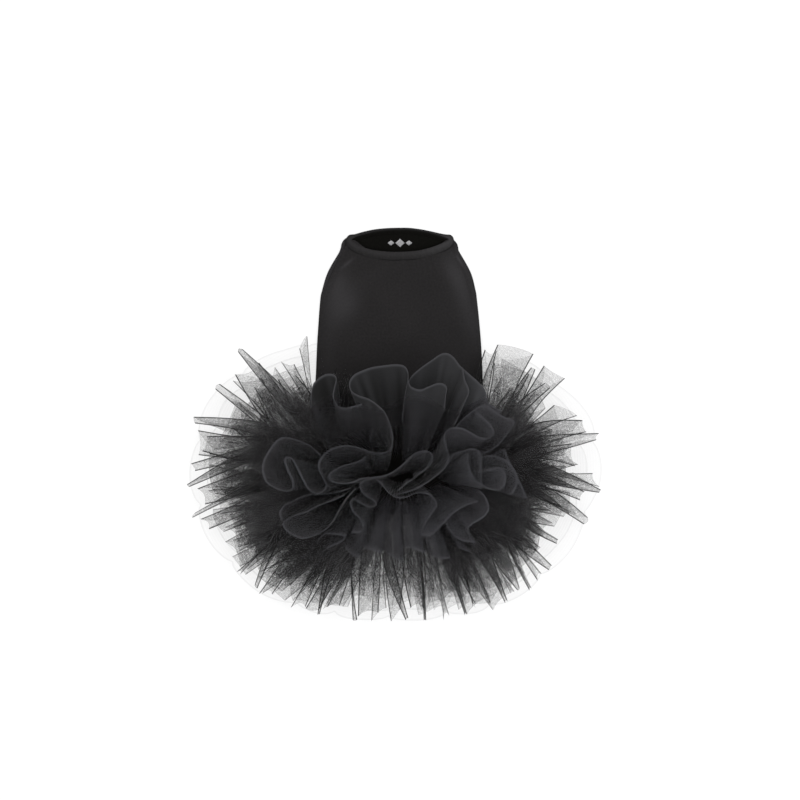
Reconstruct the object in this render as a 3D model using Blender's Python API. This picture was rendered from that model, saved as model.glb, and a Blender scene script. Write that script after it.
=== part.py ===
"""A small dog's ballet tutu dress, laid flat on its back.

+X runs across the dress, +Y from the skirt to the neck, +Z up from the surface it lies on.
The origin is the middle of the dress's outline, on the surface. Tables are in millimetres.
"""

import math

import bpy
import numpy as np

MM = 0.001

# Cloth thicknesses and the gap that neighbouring pieces keep.
JERSEY_WALL = 1.2
NET_WALL = 1.0
RUFFLE_WALL = 1.5
SEAM_GAP = 0.3

# Bodice: the waist seam, the shoulder points and the sides (y, left x, right x).
WAIST_Y = -45.0
SHOULDER_LEFT = (-53.5, 175.0)
SHOULDER_RIGHT = (61.5, 177.0)
PANEL_COLUMNS = 14
PANEL_ROWS = 12
FRONT_SIDES = (
    (-45.0, -80.5, 87.5),
    (25.0, -81.5, 86.5),
    (55.0, -80.5, 86.0),
    (95.0, -78.5, 83.5),
    (125.0, -74.5, 79.5),
    (135.0, -71.5, 77.5),
    (153.0, -63.5, 72.0),
    (175.0, -53.5, 61.5),
)
BACK_SIDES = (
    (-45.0, -80.5, 87.5),
    (25.0, -81.5, 86.5),
    (55.0, -80.5, 86.0),
    (95.0, -78.5, 83.5),
    (125.0, -76.0, 80.5),
    (135.0, -73.5, 79.5),
    (153.0, -66.5, 75.0),
    (175.0, -53.5, 61.5),
)
# Necklines (x, y), from the left shoulder point to the right one.
FRONT_NECK = (
    (-53.5, 175.0),
    (-44.0, 185.0),
    (-30.0, 176.5),
    (-12.0, 172.2),
    (3.5, 171.5),
    (20.0, 172.2),
    (38.0, 176.8),
    (52.5, 185.5),
    (61.5, 177.0),
)
BACK_NECK = (
    (-53.5, 175.0),
    (-44.0, 186.0),
    (-30.0, 191.5),
    (-12.0, 196.0),
    (3.5, 197.0),
    (20.0, 196.0),
    (38.0, 191.5),
    (52.5, 186.0),
    (61.5, 177.0),
)
FRONT_DOME = 1.8
# Neck binding: width on the front, band width and depth below the edge on the back, how far the
# front one stands past the neckline, and how far each stops short of the corners.
BINDING_WIDTH = 8.5
BINDING_PAST_EDGE = 0.8
BACK_BAND = (1.0, 6.5)
BINDING_INSET = {"front": 1.0, "back": 6.0}
BINDING_COLUMNS = 20

# Gathered heading: a rounded solid around the waist seam.
HEADING_CENTRE = (3.5, -45.0)
HEADING_HALF_LENGTH = 92.0
HEADING_HALF_WIDTH = 44.0
HEADING_BOTTOM = 6.0
HEADING_SHOULDER = 30.0
HEADING_TOP = 50.0
HEADING_SECTIONS = 28
HEADING_RINGS = 5

# Net tiers: how far the widest one reaches from the heading's centre (bearing, reach), counted
# from beside the left side seam, round below the skirt, to beside the right side seam.
FAN_REACH = (
    (123.5, 160.0),
    (132.0, 163.0),
    (142.0, 194.0),
    (148.0, 184.0),
    (155.0, 198.0),
    (166.0, 214.0),
    (174.0, 203.0),
    (184.0, 207.0),
    (193.0, 206.0),
    (207.0, 197.0),
    (221.0, 184.0),
    (236.0, 168.0),
    (251.0, 155.0),
    (270.0, 151.0),
    (289.0, 155.0),
    (305.0, 168.0),
    (321.0, 181.0),
    (335.0, 191.0),
    (349.0, 201.0),
    (358.5, 203.0),
    (370.0, 204.0),
    (379.0, 194.0),
    (389.0, 188.0),
    (396.0, 178.0),
    (402.0, 176.0),
    (411.5, 157.0),
)
FAN_COLUMNS = 81
FAN_ROWS = 3
FAN_ROOT_BEARINGS = (172.0, 368.0)
# Root of the lowest tier: its gap beside and below the panels, and how far it turns up the sides.
WAIST_CLEAR_SIDE = 5.0
WAIST_CLEAR_BELOW = 1.5
WAIST_TURN_UP = 8.0
# A row for each tier: name, share of the reach, height of root and edge, height of the pleats
# at root and edge, and the seed of their unevenness.
NET_TIERS = (
    ("net_tier_1", 1.00, 2.6, 5.6, 1.4, 4.8, 11),
    ("net_tier_2", 0.94, 10.0, 19.0, 1.6, 5.4, 23),
    ("net_tier_3", 0.90, 17.0, 33.0, 1.6, 5.4, 37),
    ("net_tier_4", 0.80, 24.0, 43.0, 1.4, 5.0, 53),
)
REACH_UNEVENNESS = (-0.030, 0.015)
LEAST_PLEAT = 0.55
SLOW_WAVES = 5.0
SLOW_SHARE = 0.25

# Soft ruffles: a row for each fold along the hem (bearing of its root, hem x, y, z).
OUTER_FOLDS = (
    (-4, 119, -50, 58),
    (6, 104, -31, 66),
    (14, 97, -20, 58),
    (22, 116, 4, 54),
    (30, 103, 17, 58),
    (36, 86, 18, 64),
    (43, 87, 42, 50),
    (54, 72, 52, 50),
    (64, 50, 70, 52),
    (74, 28, 58, 54),
    (82, 12, 42, 60),
    (88, 8, 58, 52),
    (98, -12, 60, 50),
    (108, -41, 52, 52),
    (116, -47, 38, 58),
    (124, -50, 16, 64),
    (132, -60, 47, 52),
    (141, -80, 42, 50),
    (152, -84, -2, 62),
    (162, -113, -13, 55),
    (172, -131, -32, 55),
    (182, -131, -52, 56),
    (192, -98, -64, 62),
    (202, -113, -82, 52),
    (212, -112, -101, 50),
    (222, -92, -110, 51),
    (232, -68, -101, 54),
    (240, -56, -86, 60),
    (248, -50, -113, 48),
    (257, -32, -98, 54),
    (265, -12, -120, 46),
    (274, 8, -119, 46),
    (283, 25, -109, 50),
    (294, 47, -95, 58),
    (304, 60, -112, 49),
    (315, 78, -118, 48),
    (326, 76, -98, 56),
    (338, 91, -84, 54),
    (348, 88, -62, 62),
)
MIDDLE_FOLDS = (
    (-6, 84, -38, 80),
    (10, 96, -8, 78),
    (24, 64, -6, 86),
    (42, 50, 2, 86),
    (60, 49, 35, 80),
    (72, 38, 41, 80),
    (82, 24, 35, 85),
    (92, 12, 38, 81),
    (104, -4, -2, 89),
    (116, -14, 14, 86),
    (128, -31, 26, 82),
    (146, -28, -12, 89),
    (162, -48, -20, 82),
    (174, -67, -26, 80),
    (184, -77, -40, 79),
    (194, -70, -56, 82),
    (206, -82, -63, 74),
    (222, -47, -68, 84),
    (238, -45, -88, 73),
    (252, -28, -79, 81),
    (268, 2, -76, 86),
    (282, 20, -100, 71),
    (298, 36, -80, 78),
    (316, 62, -83, 70),
    (338, 82, -66, 74),
)
INNER_FOLDS = (
    (0, 50, -38, 98),
    (30, 34, -28, 102),
    (60, 21, -25, 103),
    (95, 0, -35, 104),
    (135, -27, -40, 101),
    (165, -51, -41, 98),
    (185, -63, -49, 97),
    (205, -54, -57, 99),
    (225, -34, -60, 102),
    (245, -23, -74, 99),
    (270, -8, -65, 103),
    (295, 4, -69, 103),
    (330, 30, -55, 100),
)
# A row for each ruffle: its folds, root half-length and half-width, root height, outward bow.
RUFFLES = (
    ("ruffle_outer", OUTER_FOLDS, 80.0, 38.5, 43.5, 5.0),
    ("ruffle_middle", MIDDLE_FOLDS, 52.0, 24.5, 49.0, 4.0),
    ("ruffle_inner", INNER_FOLDS, 22.0, 11.0, 51.5, 3.0),
)
POINTS_PER_FOLD = {"ruffle_outer": 3, "ruffle_middle": 4, "ruffle_inner": 5}
RUFFLE_ROWS = 3

# Finishes: base colour, roughness.
JERSEY = ("jersey", (0.022, 0.021, 0.022), 0.85)
BINDING = ("binding", (0.028, 0.026, 0.027), 0.85)
STIFF_NET = ("stiff_net", (0.012, 0.012, 0.013), 0.7)
SOFT_TULLE = ("soft_tulle", (0.035, 0.035, 0.038), 0.6)


def clear_scene():
    """Remove every object that the file starts with."""
    for thing in list(bpy.data.objects):
        bpy.data.objects.remove(thing, do_unlink=True)


def make_material(finish):
    """Return the named Principled material, made once."""
    name, colour, roughness = finish
    material = bpy.data.materials.get(name)
    if material is None:
        material = bpy.data.materials.new(name)
        material.use_nodes = True
        shader = material.node_tree.nodes["Principled BSDF"]
        shader.inputs["Base Color"].default_value = (*colour, 1.0)
        shader.inputs["Roughness"].default_value = roughness
        shader.inputs["Metallic"].default_value = 0.0
    return material


def link_mesh(name, points, faces, finish):
    """Make a mesh object from points in millimetres and faces, and put it in the scene."""
    mesh = bpy.data.meshes.new(name)
    mesh.from_pydata((np.asarray(points) * MM).tolist(), [], faces)
    mesh.update()
    thing = bpy.data.objects.new(name, mesh)
    bpy.context.scene.collection.objects.link(thing)
    thing.data.materials.append(make_material(finish))
    return thing


def sheet_faces(rows, columns, closed):
    """Quads of a grid of points stored row by row; a closed one joins its last column to its first."""
    faces = []
    for row in range(rows - 1):
        for column in range(columns if closed else columns - 1):
            after = (column + 1) % columns
            faces.append((row * columns + column, row * columns + after,
                          (row + 1) * columns + after, (row + 1) * columns + column))
    return faces


def cloth_wall(name, grid, wall, finish, side=0.0, closed=False):
    """Turn a grid of points (rows, columns, 3) into a wall; side -1, 0 or 1 places the cloth."""
    rows, columns = grid.shape[:2]
    thing = link_mesh(name, grid.reshape(-1, 3), sheet_faces(rows, columns, closed), finish)
    solid = thing.modifiers.new("wall", "SOLIDIFY")
    solid.thickness = wall * MM
    solid.offset = side
    solid.use_even_offset = False
    return thing


def side_of(sides, column, y):
    """Read the left (column 1) or right (column 2) x of a panel at height y."""
    table = np.array(sides)
    return np.interp(y, table[:, 0], table[:, column])


def panel_plan(sides, neck):
    """Grid of (x, y) from the waist seam to the neckline, fanned between the two sides."""
    neck = np.array(neck)
    across = np.linspace(0.0, 1.0, PANEL_COLUMNS)[None, :]
    along = np.linspace(0.0, 1.0, PANEL_ROWS)[:, None]
    left_y = WAIST_Y + (SHOULDER_LEFT[1] - WAIST_Y) * along
    right_y = WAIST_Y + (SHOULDER_RIGHT[1] - WAIST_Y) * along
    x = side_of(sides, 1, left_y) * (1.0 - across) + side_of(sides, 2, right_y) * across
    side_y = left_y * (1.0 - across) + right_y * across
    top_x = SHOULDER_LEFT[0] * (1.0 - across) + SHOULDER_RIGHT[0] * across
    rise = np.interp(top_x, neck[:, 0], neck[:, 1]) - (
        SHOULDER_LEFT[1] * (1.0 - across) + SHOULDER_RIGHT[1] * across)
    return x, side_y + rise * along ** 2


def front_height(x, y):
    """Underside of the front panel: a gap over the back one, domed towards the middle."""
    table = np.array(FRONT_SIDES)
    left = np.interp(y, table[:, 0], table[:, 1])
    right = np.interp(y, table[:, 0], table[:, 2])
    share = np.clip((x - left) / (right - left), 0.0, 1.0)
    return JERSEY_WALL + SEAM_GAP + FRONT_DOME * np.sin(math.pi * share) ** 2


def make_bodice():
    """The two jersey panels, one lying on the other."""
    x, y = panel_plan(BACK_SIDES, BACK_NECK)
    cloth_wall("bodice_back", np.dstack((x, y, np.zeros_like(x))), JERSEY_WALL, JERSEY, side=1.0)
    x, y = panel_plan(FRONT_SIDES, FRONT_NECK)
    cloth_wall("bodice_front", np.dstack((x, y, front_height(x, y))), JERSEY_WALL, JERSEY, side=1.0)


def binding_plan(neck, inset):
    """Points along a neckline between its corners, and the unit direction across it, downward."""
    neck = np.array(neck)[1:-1]
    x = np.linspace(neck[0, 0] + inset, neck[-1, 0] - inset, BINDING_COLUMNS)
    y = np.interp(x, neck[:, 0], neck[:, 1])
    for _ in range(2):
        y[1:-1] = (y[:-2] + 2.0 * y[1:-1] + y[2:]) / 4.0
    slope = np.gradient(y, x)
    length = np.sqrt(1.0 + slope ** 2)
    return x, y, slope / length, -1.0 / length


def binding_strip(neck, inset, near, far):
    """Plan of a strip between two distances below a neckline, its lower edge first."""
    x, y, across_x, across_y = binding_plan(neck, inset)
    depth = np.array((far, near))[:, None]
    return x + depth * across_x, y + depth * across_y


def make_bindings():
    """Folded strips on the two necklines, each lying on its panel."""
    x, y = binding_strip(FRONT_NECK, BINDING_INSET["front"], -BINDING_PAST_EDGE, BINDING_WIDTH)
    height = np.broadcast_to(front_height(x, y).max(axis=0), x.shape) + JERSEY_WALL + SEAM_GAP
    cloth_wall("neck_binding_front", np.dstack((x, y, height)), JERSEY_WALL, BINDING, side=1.0)
    x, y = binding_strip(BACK_NECK, BINDING_INSET["back"], *BACK_BAND)
    height = np.full_like(x, JERSEY_WALL + SEAM_GAP)
    cloth_wall("neck_binding_back", np.dstack((x, y, height)), JERSEY_WALL, BINDING, side=1.0)


def heading_ring(share, height):
    """One ring of the heading at a share of its outline."""
    turn = np.arange(HEADING_SECTIONS) * 2.0 * math.pi / HEADING_SECTIONS
    x = HEADING_CENTRE[0] + share * HEADING_HALF_LENGTH * np.cos(turn)
    y = HEADING_CENTRE[1] + share * HEADING_HALF_WIDTH * np.sin(turn)
    return np.column_stack((x, y, np.full_like(x, height)))


def dome_height(share):
    """Top of the heading at a share of its outline: a flattened dome on an upright side."""
    return HEADING_SHOULDER + (HEADING_TOP - HEADING_SHOULDER) * np.sqrt(1.0 - share ** 2)


def make_heading():
    """The rounded solid that stands for the gathered layers at the waist seam."""
    shares = np.sin(np.linspace(math.pi / 2.0, math.pi / 16.0, HEADING_RINGS))
    rings = [heading_ring(1.0, HEADING_BOTTOM)]
    rings += [heading_ring(share, dome_height(share)) for share in shares]
    points = np.vstack(rings)
    faces = sheet_faces(len(rings), HEADING_SECTIONS, True)
    faces.append(tuple(range(HEADING_SECTIONS - 1, -1, -1)))
    last = (len(rings) - 1) * HEADING_SECTIONS
    faces.append(tuple(range(last, last + HEADING_SECTIONS)))
    thing = link_mesh("tulle_heading", points, faces, STIFF_NET)
    thing.data.shade_smooth()


def fan_edge(share):
    """Outer edge of a tier for every column: the reach table smoothed, times the tier's share."""
    table = np.array(FAN_REACH)
    bearing = np.linspace(table[0, 0], table[-1, 0], FAN_COLUMNS)
    reach = np.interp(bearing, table[:, 0], table[:, 1]) * share
    turn = np.radians(bearing)
    return np.stack((reach * np.cos(turn), HEADING_CENTRE[1] + reach * np.sin(turn)), axis=1)


def heading_root():
    """Root of the upper tiers: the heading's outline, a gap outside it."""
    turn = np.radians(np.linspace(*FAN_ROOT_BEARINGS, FAN_COLUMNS))
    clear = NET_WALL + SEAM_GAP
    return np.stack((HEADING_CENTRE[0] + (HEADING_HALF_LENGTH + clear) * np.cos(turn),
                     HEADING_CENTRE[1] + (HEADING_HALF_WIDTH + clear) * np.sin(turn)), axis=1)


def waist_root():
    """Root of the lowest tier: down one side of the waist, along it and up the other side."""
    _, left, right = FRONT_SIDES[0]
    corners = np.array(((left - WAIST_CLEAR_SIDE, WAIST_Y + WAIST_TURN_UP),
                        (left - WAIST_CLEAR_SIDE, WAIST_Y - WAIST_CLEAR_BELOW),
                        (right + WAIST_CLEAR_SIDE, WAIST_Y - WAIST_CLEAR_BELOW),
                        (right + WAIST_CLEAR_SIDE, WAIST_Y + WAIST_TURN_UP)))
    runs = np.concatenate(((0.0,), np.cumsum(np.linalg.norm(np.diff(corners, axis=0), axis=1))))
    along = np.linspace(0.0, runs[-1], FAN_COLUMNS)
    return np.stack((np.interp(along, runs, corners[:, 0]),
                     np.interp(along, runs, corners[:, 1])), axis=1)


def make_net_tier(root, name, share, root_z, edge_z, root_pleat, edge_pleat, seed):
    """One gathered net strip: straight threads from root to edge, pleated up and down."""
    chance = np.random.default_rng(seed)
    middle = np.array(HEADING_CENTRE)
    uneven = 1.0 + chance.uniform(*REACH_UNEVENNESS, FAN_COLUMNS)
    edge = middle + (fan_edge(share) - middle) * uneven[:, None]
    column = np.arange(FAN_COLUMNS)
    zigzag = np.where(column % 2 == 0, 1.0, -1.0) * chance.uniform(LEAST_PLEAT, 1.0, FAN_COLUMNS)
    slow = np.sin(column / FAN_COLUMNS * 2.0 * math.pi * SLOW_WAVES)
    pleat = (1.0 - SLOW_SHARE) * zigzag + SLOW_SHARE * slow
    along = np.linspace(0.0, 1.0, FAN_ROWS)[:, None]
    plan = root[None] * (1.0 - along[..., None]) + edge[None] * along[..., None]
    height = root_z + (edge_z - root_z) * along
    height = height + pleat[None] * (root_pleat + (edge_pleat - root_pleat) * along)
    height = np.maximum(height, NET_WALL / 2.0)
    cloth_wall(name, np.dstack((plan, height)), NET_WALL, STIFF_NET)


def smooth_loop(table, per_row):
    """Closed Catmull-Rom curve through the table's rows, with per_row points for each row."""
    rows = len(table)
    step = np.arange(rows * per_row) / per_row
    index = step.astype(int)
    share = (step - index)[:, None]
    before, start, stop, after = (table[(index + shift) % rows] for shift in (-1, 0, 1, 2))
    return 0.5 * (2.0 * start + (stop - before) * share
                  + (2.0 * before - 5.0 * start + 4.0 * stop - after) * share ** 2
                  + (3.0 * start - before - 3.0 * stop + after) * share ** 3)


def make_ruffle(name, folds, half_length, half_width, root_z, bow):
    """One ruffle: threads from the heading out to the hem, bowed outward and up between them."""
    table = np.array(folds, float)
    per_row = POINTS_PER_FOLD[name]
    hem = smooth_loop(table[:, 1:], per_row)
    bearing = table[:, 0]
    step = np.arange(len(hem)) / per_row
    turn = np.radians(np.interp(step, np.arange(len(bearing) + 1),
                                np.append(bearing, bearing[0] + 360.0)))
    root = np.column_stack((HEADING_CENTRE[0] + half_length * np.cos(turn),
                            HEADING_CENTRE[1] + half_width * np.sin(turn),
                            np.full(len(turn), root_z)))
    along = np.linspace(0.0, 1.0, RUFFLE_ROWS)[:, None, None]
    grid = root[None] * (1.0 - along) + hem[None] * along
    grid[..., 2] += bow * np.sin(math.pi * along[..., 0])
    cloth_wall(name, grid, RUFFLE_WALL, SOFT_TULLE, closed=True)


def build():
    """Make the whole dress."""
    clear_scene()
    make_bodice()
    make_bindings()
    make_heading()
    make_net_tier(waist_root(), *NET_TIERS[0])
    for tier in NET_TIERS[1:]:
        make_net_tier(heading_root(), *tier)
    for ruffle in RUFFLES:
        make_ruffle(*ruffle)


build()
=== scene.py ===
"""Looks of a small dog's ballet tutu dress, laid flat on its back.

The bodice is jersey. The skirt has stiff net tiers, pleated and fanned round the waist, and soft
doubled tulle ruffles on top. Tables are in millimetres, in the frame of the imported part: +X across
the dress, +Y towards the neck, +Z up. Surfaces are grids of points (rows, columns, 3), worked out
as whole arrays.
"""

import math

import bpy
import numpy as np
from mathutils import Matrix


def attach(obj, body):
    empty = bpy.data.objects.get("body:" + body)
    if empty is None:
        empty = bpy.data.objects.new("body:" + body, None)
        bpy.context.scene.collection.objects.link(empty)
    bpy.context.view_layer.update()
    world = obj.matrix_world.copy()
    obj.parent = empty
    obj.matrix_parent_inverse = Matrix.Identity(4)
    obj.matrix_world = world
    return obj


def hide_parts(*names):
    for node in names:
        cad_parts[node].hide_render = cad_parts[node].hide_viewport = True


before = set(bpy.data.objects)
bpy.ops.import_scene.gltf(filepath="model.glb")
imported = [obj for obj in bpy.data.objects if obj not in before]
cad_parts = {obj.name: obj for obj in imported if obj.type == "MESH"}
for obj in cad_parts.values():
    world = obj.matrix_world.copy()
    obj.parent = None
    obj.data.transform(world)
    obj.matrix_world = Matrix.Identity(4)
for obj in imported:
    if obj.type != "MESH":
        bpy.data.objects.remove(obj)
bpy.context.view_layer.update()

MM = 0.001
PI = math.pi


# ---------------------------------------------------------------- curves and grids

def smooth_curve(rows, per_row):
    """Catmull-Rom curve through the rows of a table, with per_row points from each row to the next.

    Between rows b and c, with a before and d after, the point at share s is
    0.5 (2b + (c - a) s + (2a - 5b + 4c - d) s^2 + (3b - a - 3c + d) s^3).
    """
    table = np.asarray(rows, float)
    padded = np.vstack((2 * table[0] - table[1], table, 2 * table[-1] - table[-2]))
    step = np.linspace(0.0, len(table) - 1.0, (len(table) - 1) * per_row + 1)
    index = np.minimum(step.astype(int), len(table) - 2)
    share = (step - index)[:, None]
    a, b, c, d = (padded[index + shift] for shift in range(4))
    return 0.5 * (2 * b + (c - a) * share + (2 * a - 5 * b + 4 * c - d) * share ** 2
                  + (3 * b - a - 3 * c + d) * share ** 3)


def running_length(points):
    """Distance along a line of points, from its start."""
    steps = np.linalg.norm(np.diff(points, axis=0), axis=1)
    return np.concatenate(((0.0,), np.cumsum(steps)))


def grid_normals(grid):
    """Unit normals of a grid: the cross product of its two directions at each point."""
    along = np.gradient(grid, axis=1)
    up = np.gradient(grid, axis=0)
    normal = np.cross(along, up)
    return normal / np.maximum(np.linalg.norm(normal, axis=2, keepdims=True), 1e-9)


def soft_noise(count, waves, chance):
    """Smooth random line of count values, about -1 to 1: random heights at waves knots, joined smoothly."""
    knots = chance.uniform(-1.0, 1.0, waves + 3)
    place = np.linspace(0.0, waves, count)
    index = place.astype(int)
    share = place - index
    ease = share * share * (3.0 - 2.0 * share)
    return knots[index] * (1.0 - ease) + knots[index + 1] * ease


def make_piece(name, grid, cloth, material, extra=None):
    """Mesh object from a grid in millimetres; cloth is the (rows, columns, 2) place on the flat cloth,
    kept in metres as a UV map, and extra holds named numbers for each point."""
    rows, columns = grid.shape[:2]
    index = np.arange(rows * columns).reshape(rows, columns)
    quads = np.stack((index[:-1, :-1], index[:-1, 1:], index[1:, 1:], index[1:, :-1]), axis=-1)
    quads = quads.reshape(-1, 4)
    mesh = bpy.data.meshes.new(name)
    mesh.vertices.add(rows * columns)
    mesh.vertices.foreach_set("co", (grid * MM).astype(np.float32).ravel())
    mesh.loops.add(quads.size)
    mesh.loops.foreach_set("vertex_index", quads.astype(np.int32).ravel())
    mesh.polygons.add(len(quads))
    mesh.polygons.foreach_set("loop_start", np.arange(0, quads.size, 4, dtype=np.int32))
    mesh.update(calc_edges=True)
    uv_map = mesh.uv_layers.new(name="cloth")
    flat = (cloth.reshape(-1, 2) * MM)[quads.ravel()]
    uv_map.data.foreach_set("uv", flat.astype(np.float32).ravel())
    for key, values in (extra or {}).items():
        layer = mesh.attributes.new(key, "FLOAT", "POINT")
        layer.data.foreach_set("value", values.astype(np.float32).ravel())
    mesh.shade_smooth()
    piece = bpy.data.objects.new(name, mesh)
    bpy.context.scene.collection.objects.link(piece)
    mesh.materials.append(material)
    return piece


# ---------------------------------------------------------------- node helpers

def add_node(tree, kind, inputs=None, **settings):
    """Add a shader node, set its own settings, then set or link its inputs by name or number."""
    node = tree.nodes.new(kind)
    for key, value in settings.items():
        setattr(node, key, value)
    for key, value in (inputs or {}).items():
        if isinstance(value, bpy.types.NodeSocket):
            tree.links.new(value, node.inputs[key])
        else:
            node.inputs[key].default_value = value
    return node


def calc(tree, operation, first, second=0.5, third=0.5):
    """Output of a Math node."""
    node = add_node(tree, "ShaderNodeMath", {0: first, 1: second, 2: third}, operation=operation)
    return node.outputs[0]


def ramp(tree, value, low, high, to_low=0.0, to_high=1.0):
    """Smooth step of a value from low to high, onto to_low to to_high."""
    node = add_node(tree, "ShaderNodeMapRange",
                    {"Value": value, "From Min": low, "From Max": high,
                     "To Min": to_low, "To Max": to_high}, interpolation_type="SMOOTHSTEP")
    return node.outputs["Result"]


def blend_colour(tree, share, first, second):
    """Colour mixed from first to second by share."""
    node = add_node(tree, "ShaderNodeMix", {0: share, 6: first, 7: second}, data_type="RGBA")
    return node.outputs[2]


def new_group(name, inputs, outputs):
    """Empty node group with named sockets; inputs maps names to (socket type, default)."""
    group = bpy.data.node_groups.new(name, "ShaderNodeTree")
    for label, (kind, default) in inputs.items():
        socket = group.interface.new_socket(label, in_out="INPUT", socket_type=kind)
        if default is not None:
            socket.default_value = default
    for label, kind in outputs.items():
        group.interface.new_socket(label, in_out="OUTPUT", socket_type=kind)
    return group, group.nodes.new("NodeGroupInput"), group.nodes.new("NodeGroupOutput")


def new_material(name, **shader_values):
    """Material with a Principled shader whose plain socket values are given."""
    material = bpy.data.materials.new(name)
    material.use_nodes = True
    tree = material.node_tree
    shader = tree.nodes["Principled BSDF"]
    for label, value in shader_values.items():
        shader.inputs[label.replace("_", " ")].default_value = value
    return material, tree, shader


def cloth_place(tree):
    """The piece's own cloth map, in metres, split into along the strip and up from its root."""
    place = add_node(tree, "ShaderNodeUVMap", uv_map="cloth").outputs[0]
    parts = add_node(tree, "ShaderNodeSeparateXYZ", {0: place})
    return place, parts.outputs[0], parts.outputs[1]


def point_value(tree, name):
    """A number kept at each point of the mesh."""
    return add_node(tree, "ShaderNodeAttribute", attribute_name=name).outputs["Fac"]


# ---------------------------------------------------------------- shared effects

def make_net_group():
    """Stiff net: small uneven cells with thin threads between them, some cells more open than
    others. Those cells lie at the same places in every layer, so light comes through in specks.
    Coverage is the share of light stopped, and dense cloth stops more, as
    1 - (1 - coverage)^gather."""
    group, given, put = new_group(
        "net_cells",
        {"Place": ("NodeSocketVector", None), "Plan": ("NodeSocketVector", None),
         "Cells": ("NodeSocketFloat", 1400.0),
         "Thread": ("NodeSocketFloat", 0.06), "Haze": ("NodeSocketFloat", 0.12),
         "Gather": ("NodeSocketFloat", 1.0)},
        {"Coverage": "NodeSocketFloat"})
    place = given.outputs["Place"]
    cells = add_node(group, "ShaderNodeTexVoronoi",
                     {"Vector": place, "Scale": given.outputs["Cells"], "Randomness": 0.7},
                     voronoi_dimensions="2D", feature="DISTANCE_TO_EDGE")
    grain = add_node(group, "ShaderNodeTexVoronoi",
                     {"Vector": given.outputs["Plan"], "Scale": 1150.0},
                     voronoi_dimensions="2D", feature="F1")
    chance = add_node(group, "ShaderNodeSeparateColor", {0: grain.outputs["Color"]})
    uneven = ramp(group, chance.outputs[0], 0.0, 0.5, 0.58, 1.14)
    thread = calc(group, "MULTIPLY", given.outputs["Thread"], uneven)
    inner = calc(group, "MULTIPLY", thread, 0.4)
    outer = calc(group, "MULTIPLY", thread, 1.7)
    net = ramp(group, cells.outputs["Distance"], inner, outer, 0.85, 0.0)
    net = calc(group, "MAXIMUM", net, calc(group, "MULTIPLY", given.outputs["Haze"], uneven))
    open_share = calc(group, "POWER", calc(group, "SUBTRACT", 1.0, net), given.outputs["Gather"])
    group.links.new(calc(group, "SUBTRACT", 1.0, open_share), put.inputs["Coverage"])
    return group


def make_rib_group():
    """Fine ribs across a strip: a wave along the second cloth direction, 0 to 1, a little uneven."""
    group, given, put = new_group(
        "fine_ribs",
        {"Up": ("NodeSocketFloat", 0.0), "Place": ("NodeSocketVector", None),
         "Pitch": ("NodeSocketFloat", 0.0025)},
        {"Rib": "NodeSocketFloat"})
    noise = add_node(group, "ShaderNodeTexNoise",
                     {"Vector": given.outputs["Place"], "Scale": 60.0, "Detail": 2.0})
    shift = calc(group, "MULTIPLY", noise.outputs[0], 0.7)
    turns = calc(group, "ADD", calc(group, "DIVIDE", given.outputs["Up"], given.outputs["Pitch"]),
                 shift)
    wave = calc(group, "SINE", calc(group, "MULTIPLY", turns, 2.0 * PI))
    group.links.new(calc(group, "MULTIPLY_ADD", wave, 0.5, 0.5), put.inputs["Rib"])
    return group


def make_knit_group():
    """Fine jersey: rows of small stitches with a soft nap over them. Height is 0 to 1."""
    group, given, put = new_group(
        "fine_knit",
        {"Place": ("NodeSocketVector", None), "Stitch": ("NodeSocketFloat", 0.0009)},
        {"Height": "NodeSocketFloat", "Nap": "NodeSocketFloat"})
    parts = add_node(group, "ShaderNodeSeparateXYZ", {0: given.outputs["Place"]})
    across = calc(group, "DIVIDE", parts.outputs[0], given.outputs["Stitch"])
    upward = calc(group, "DIVIDE", parts.outputs[1], given.outputs["Stitch"])
    wale = calc(group, "PINGPONG", across, 0.5)
    loop = calc(group, "PINGPONG", calc(group, "ADD", upward, wale), 0.5)
    nap = add_node(group, "ShaderNodeTexNoise",
                   {"Vector": given.outputs["Place"], "Scale": 480.0, "Detail": 3.0})
    height = calc(group, "ADD", calc(group, "ADD", wale, loop), nap.outputs[0])
    group.links.new(calc(group, "MULTIPLY", height, 0.5), put.inputs["Height"])
    group.links.new(nap.outputs[0], put.inputs["Nap"])
    return group


NET = make_net_group()
RIBS = make_rib_group()
KNIT = make_knit_group()


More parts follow.
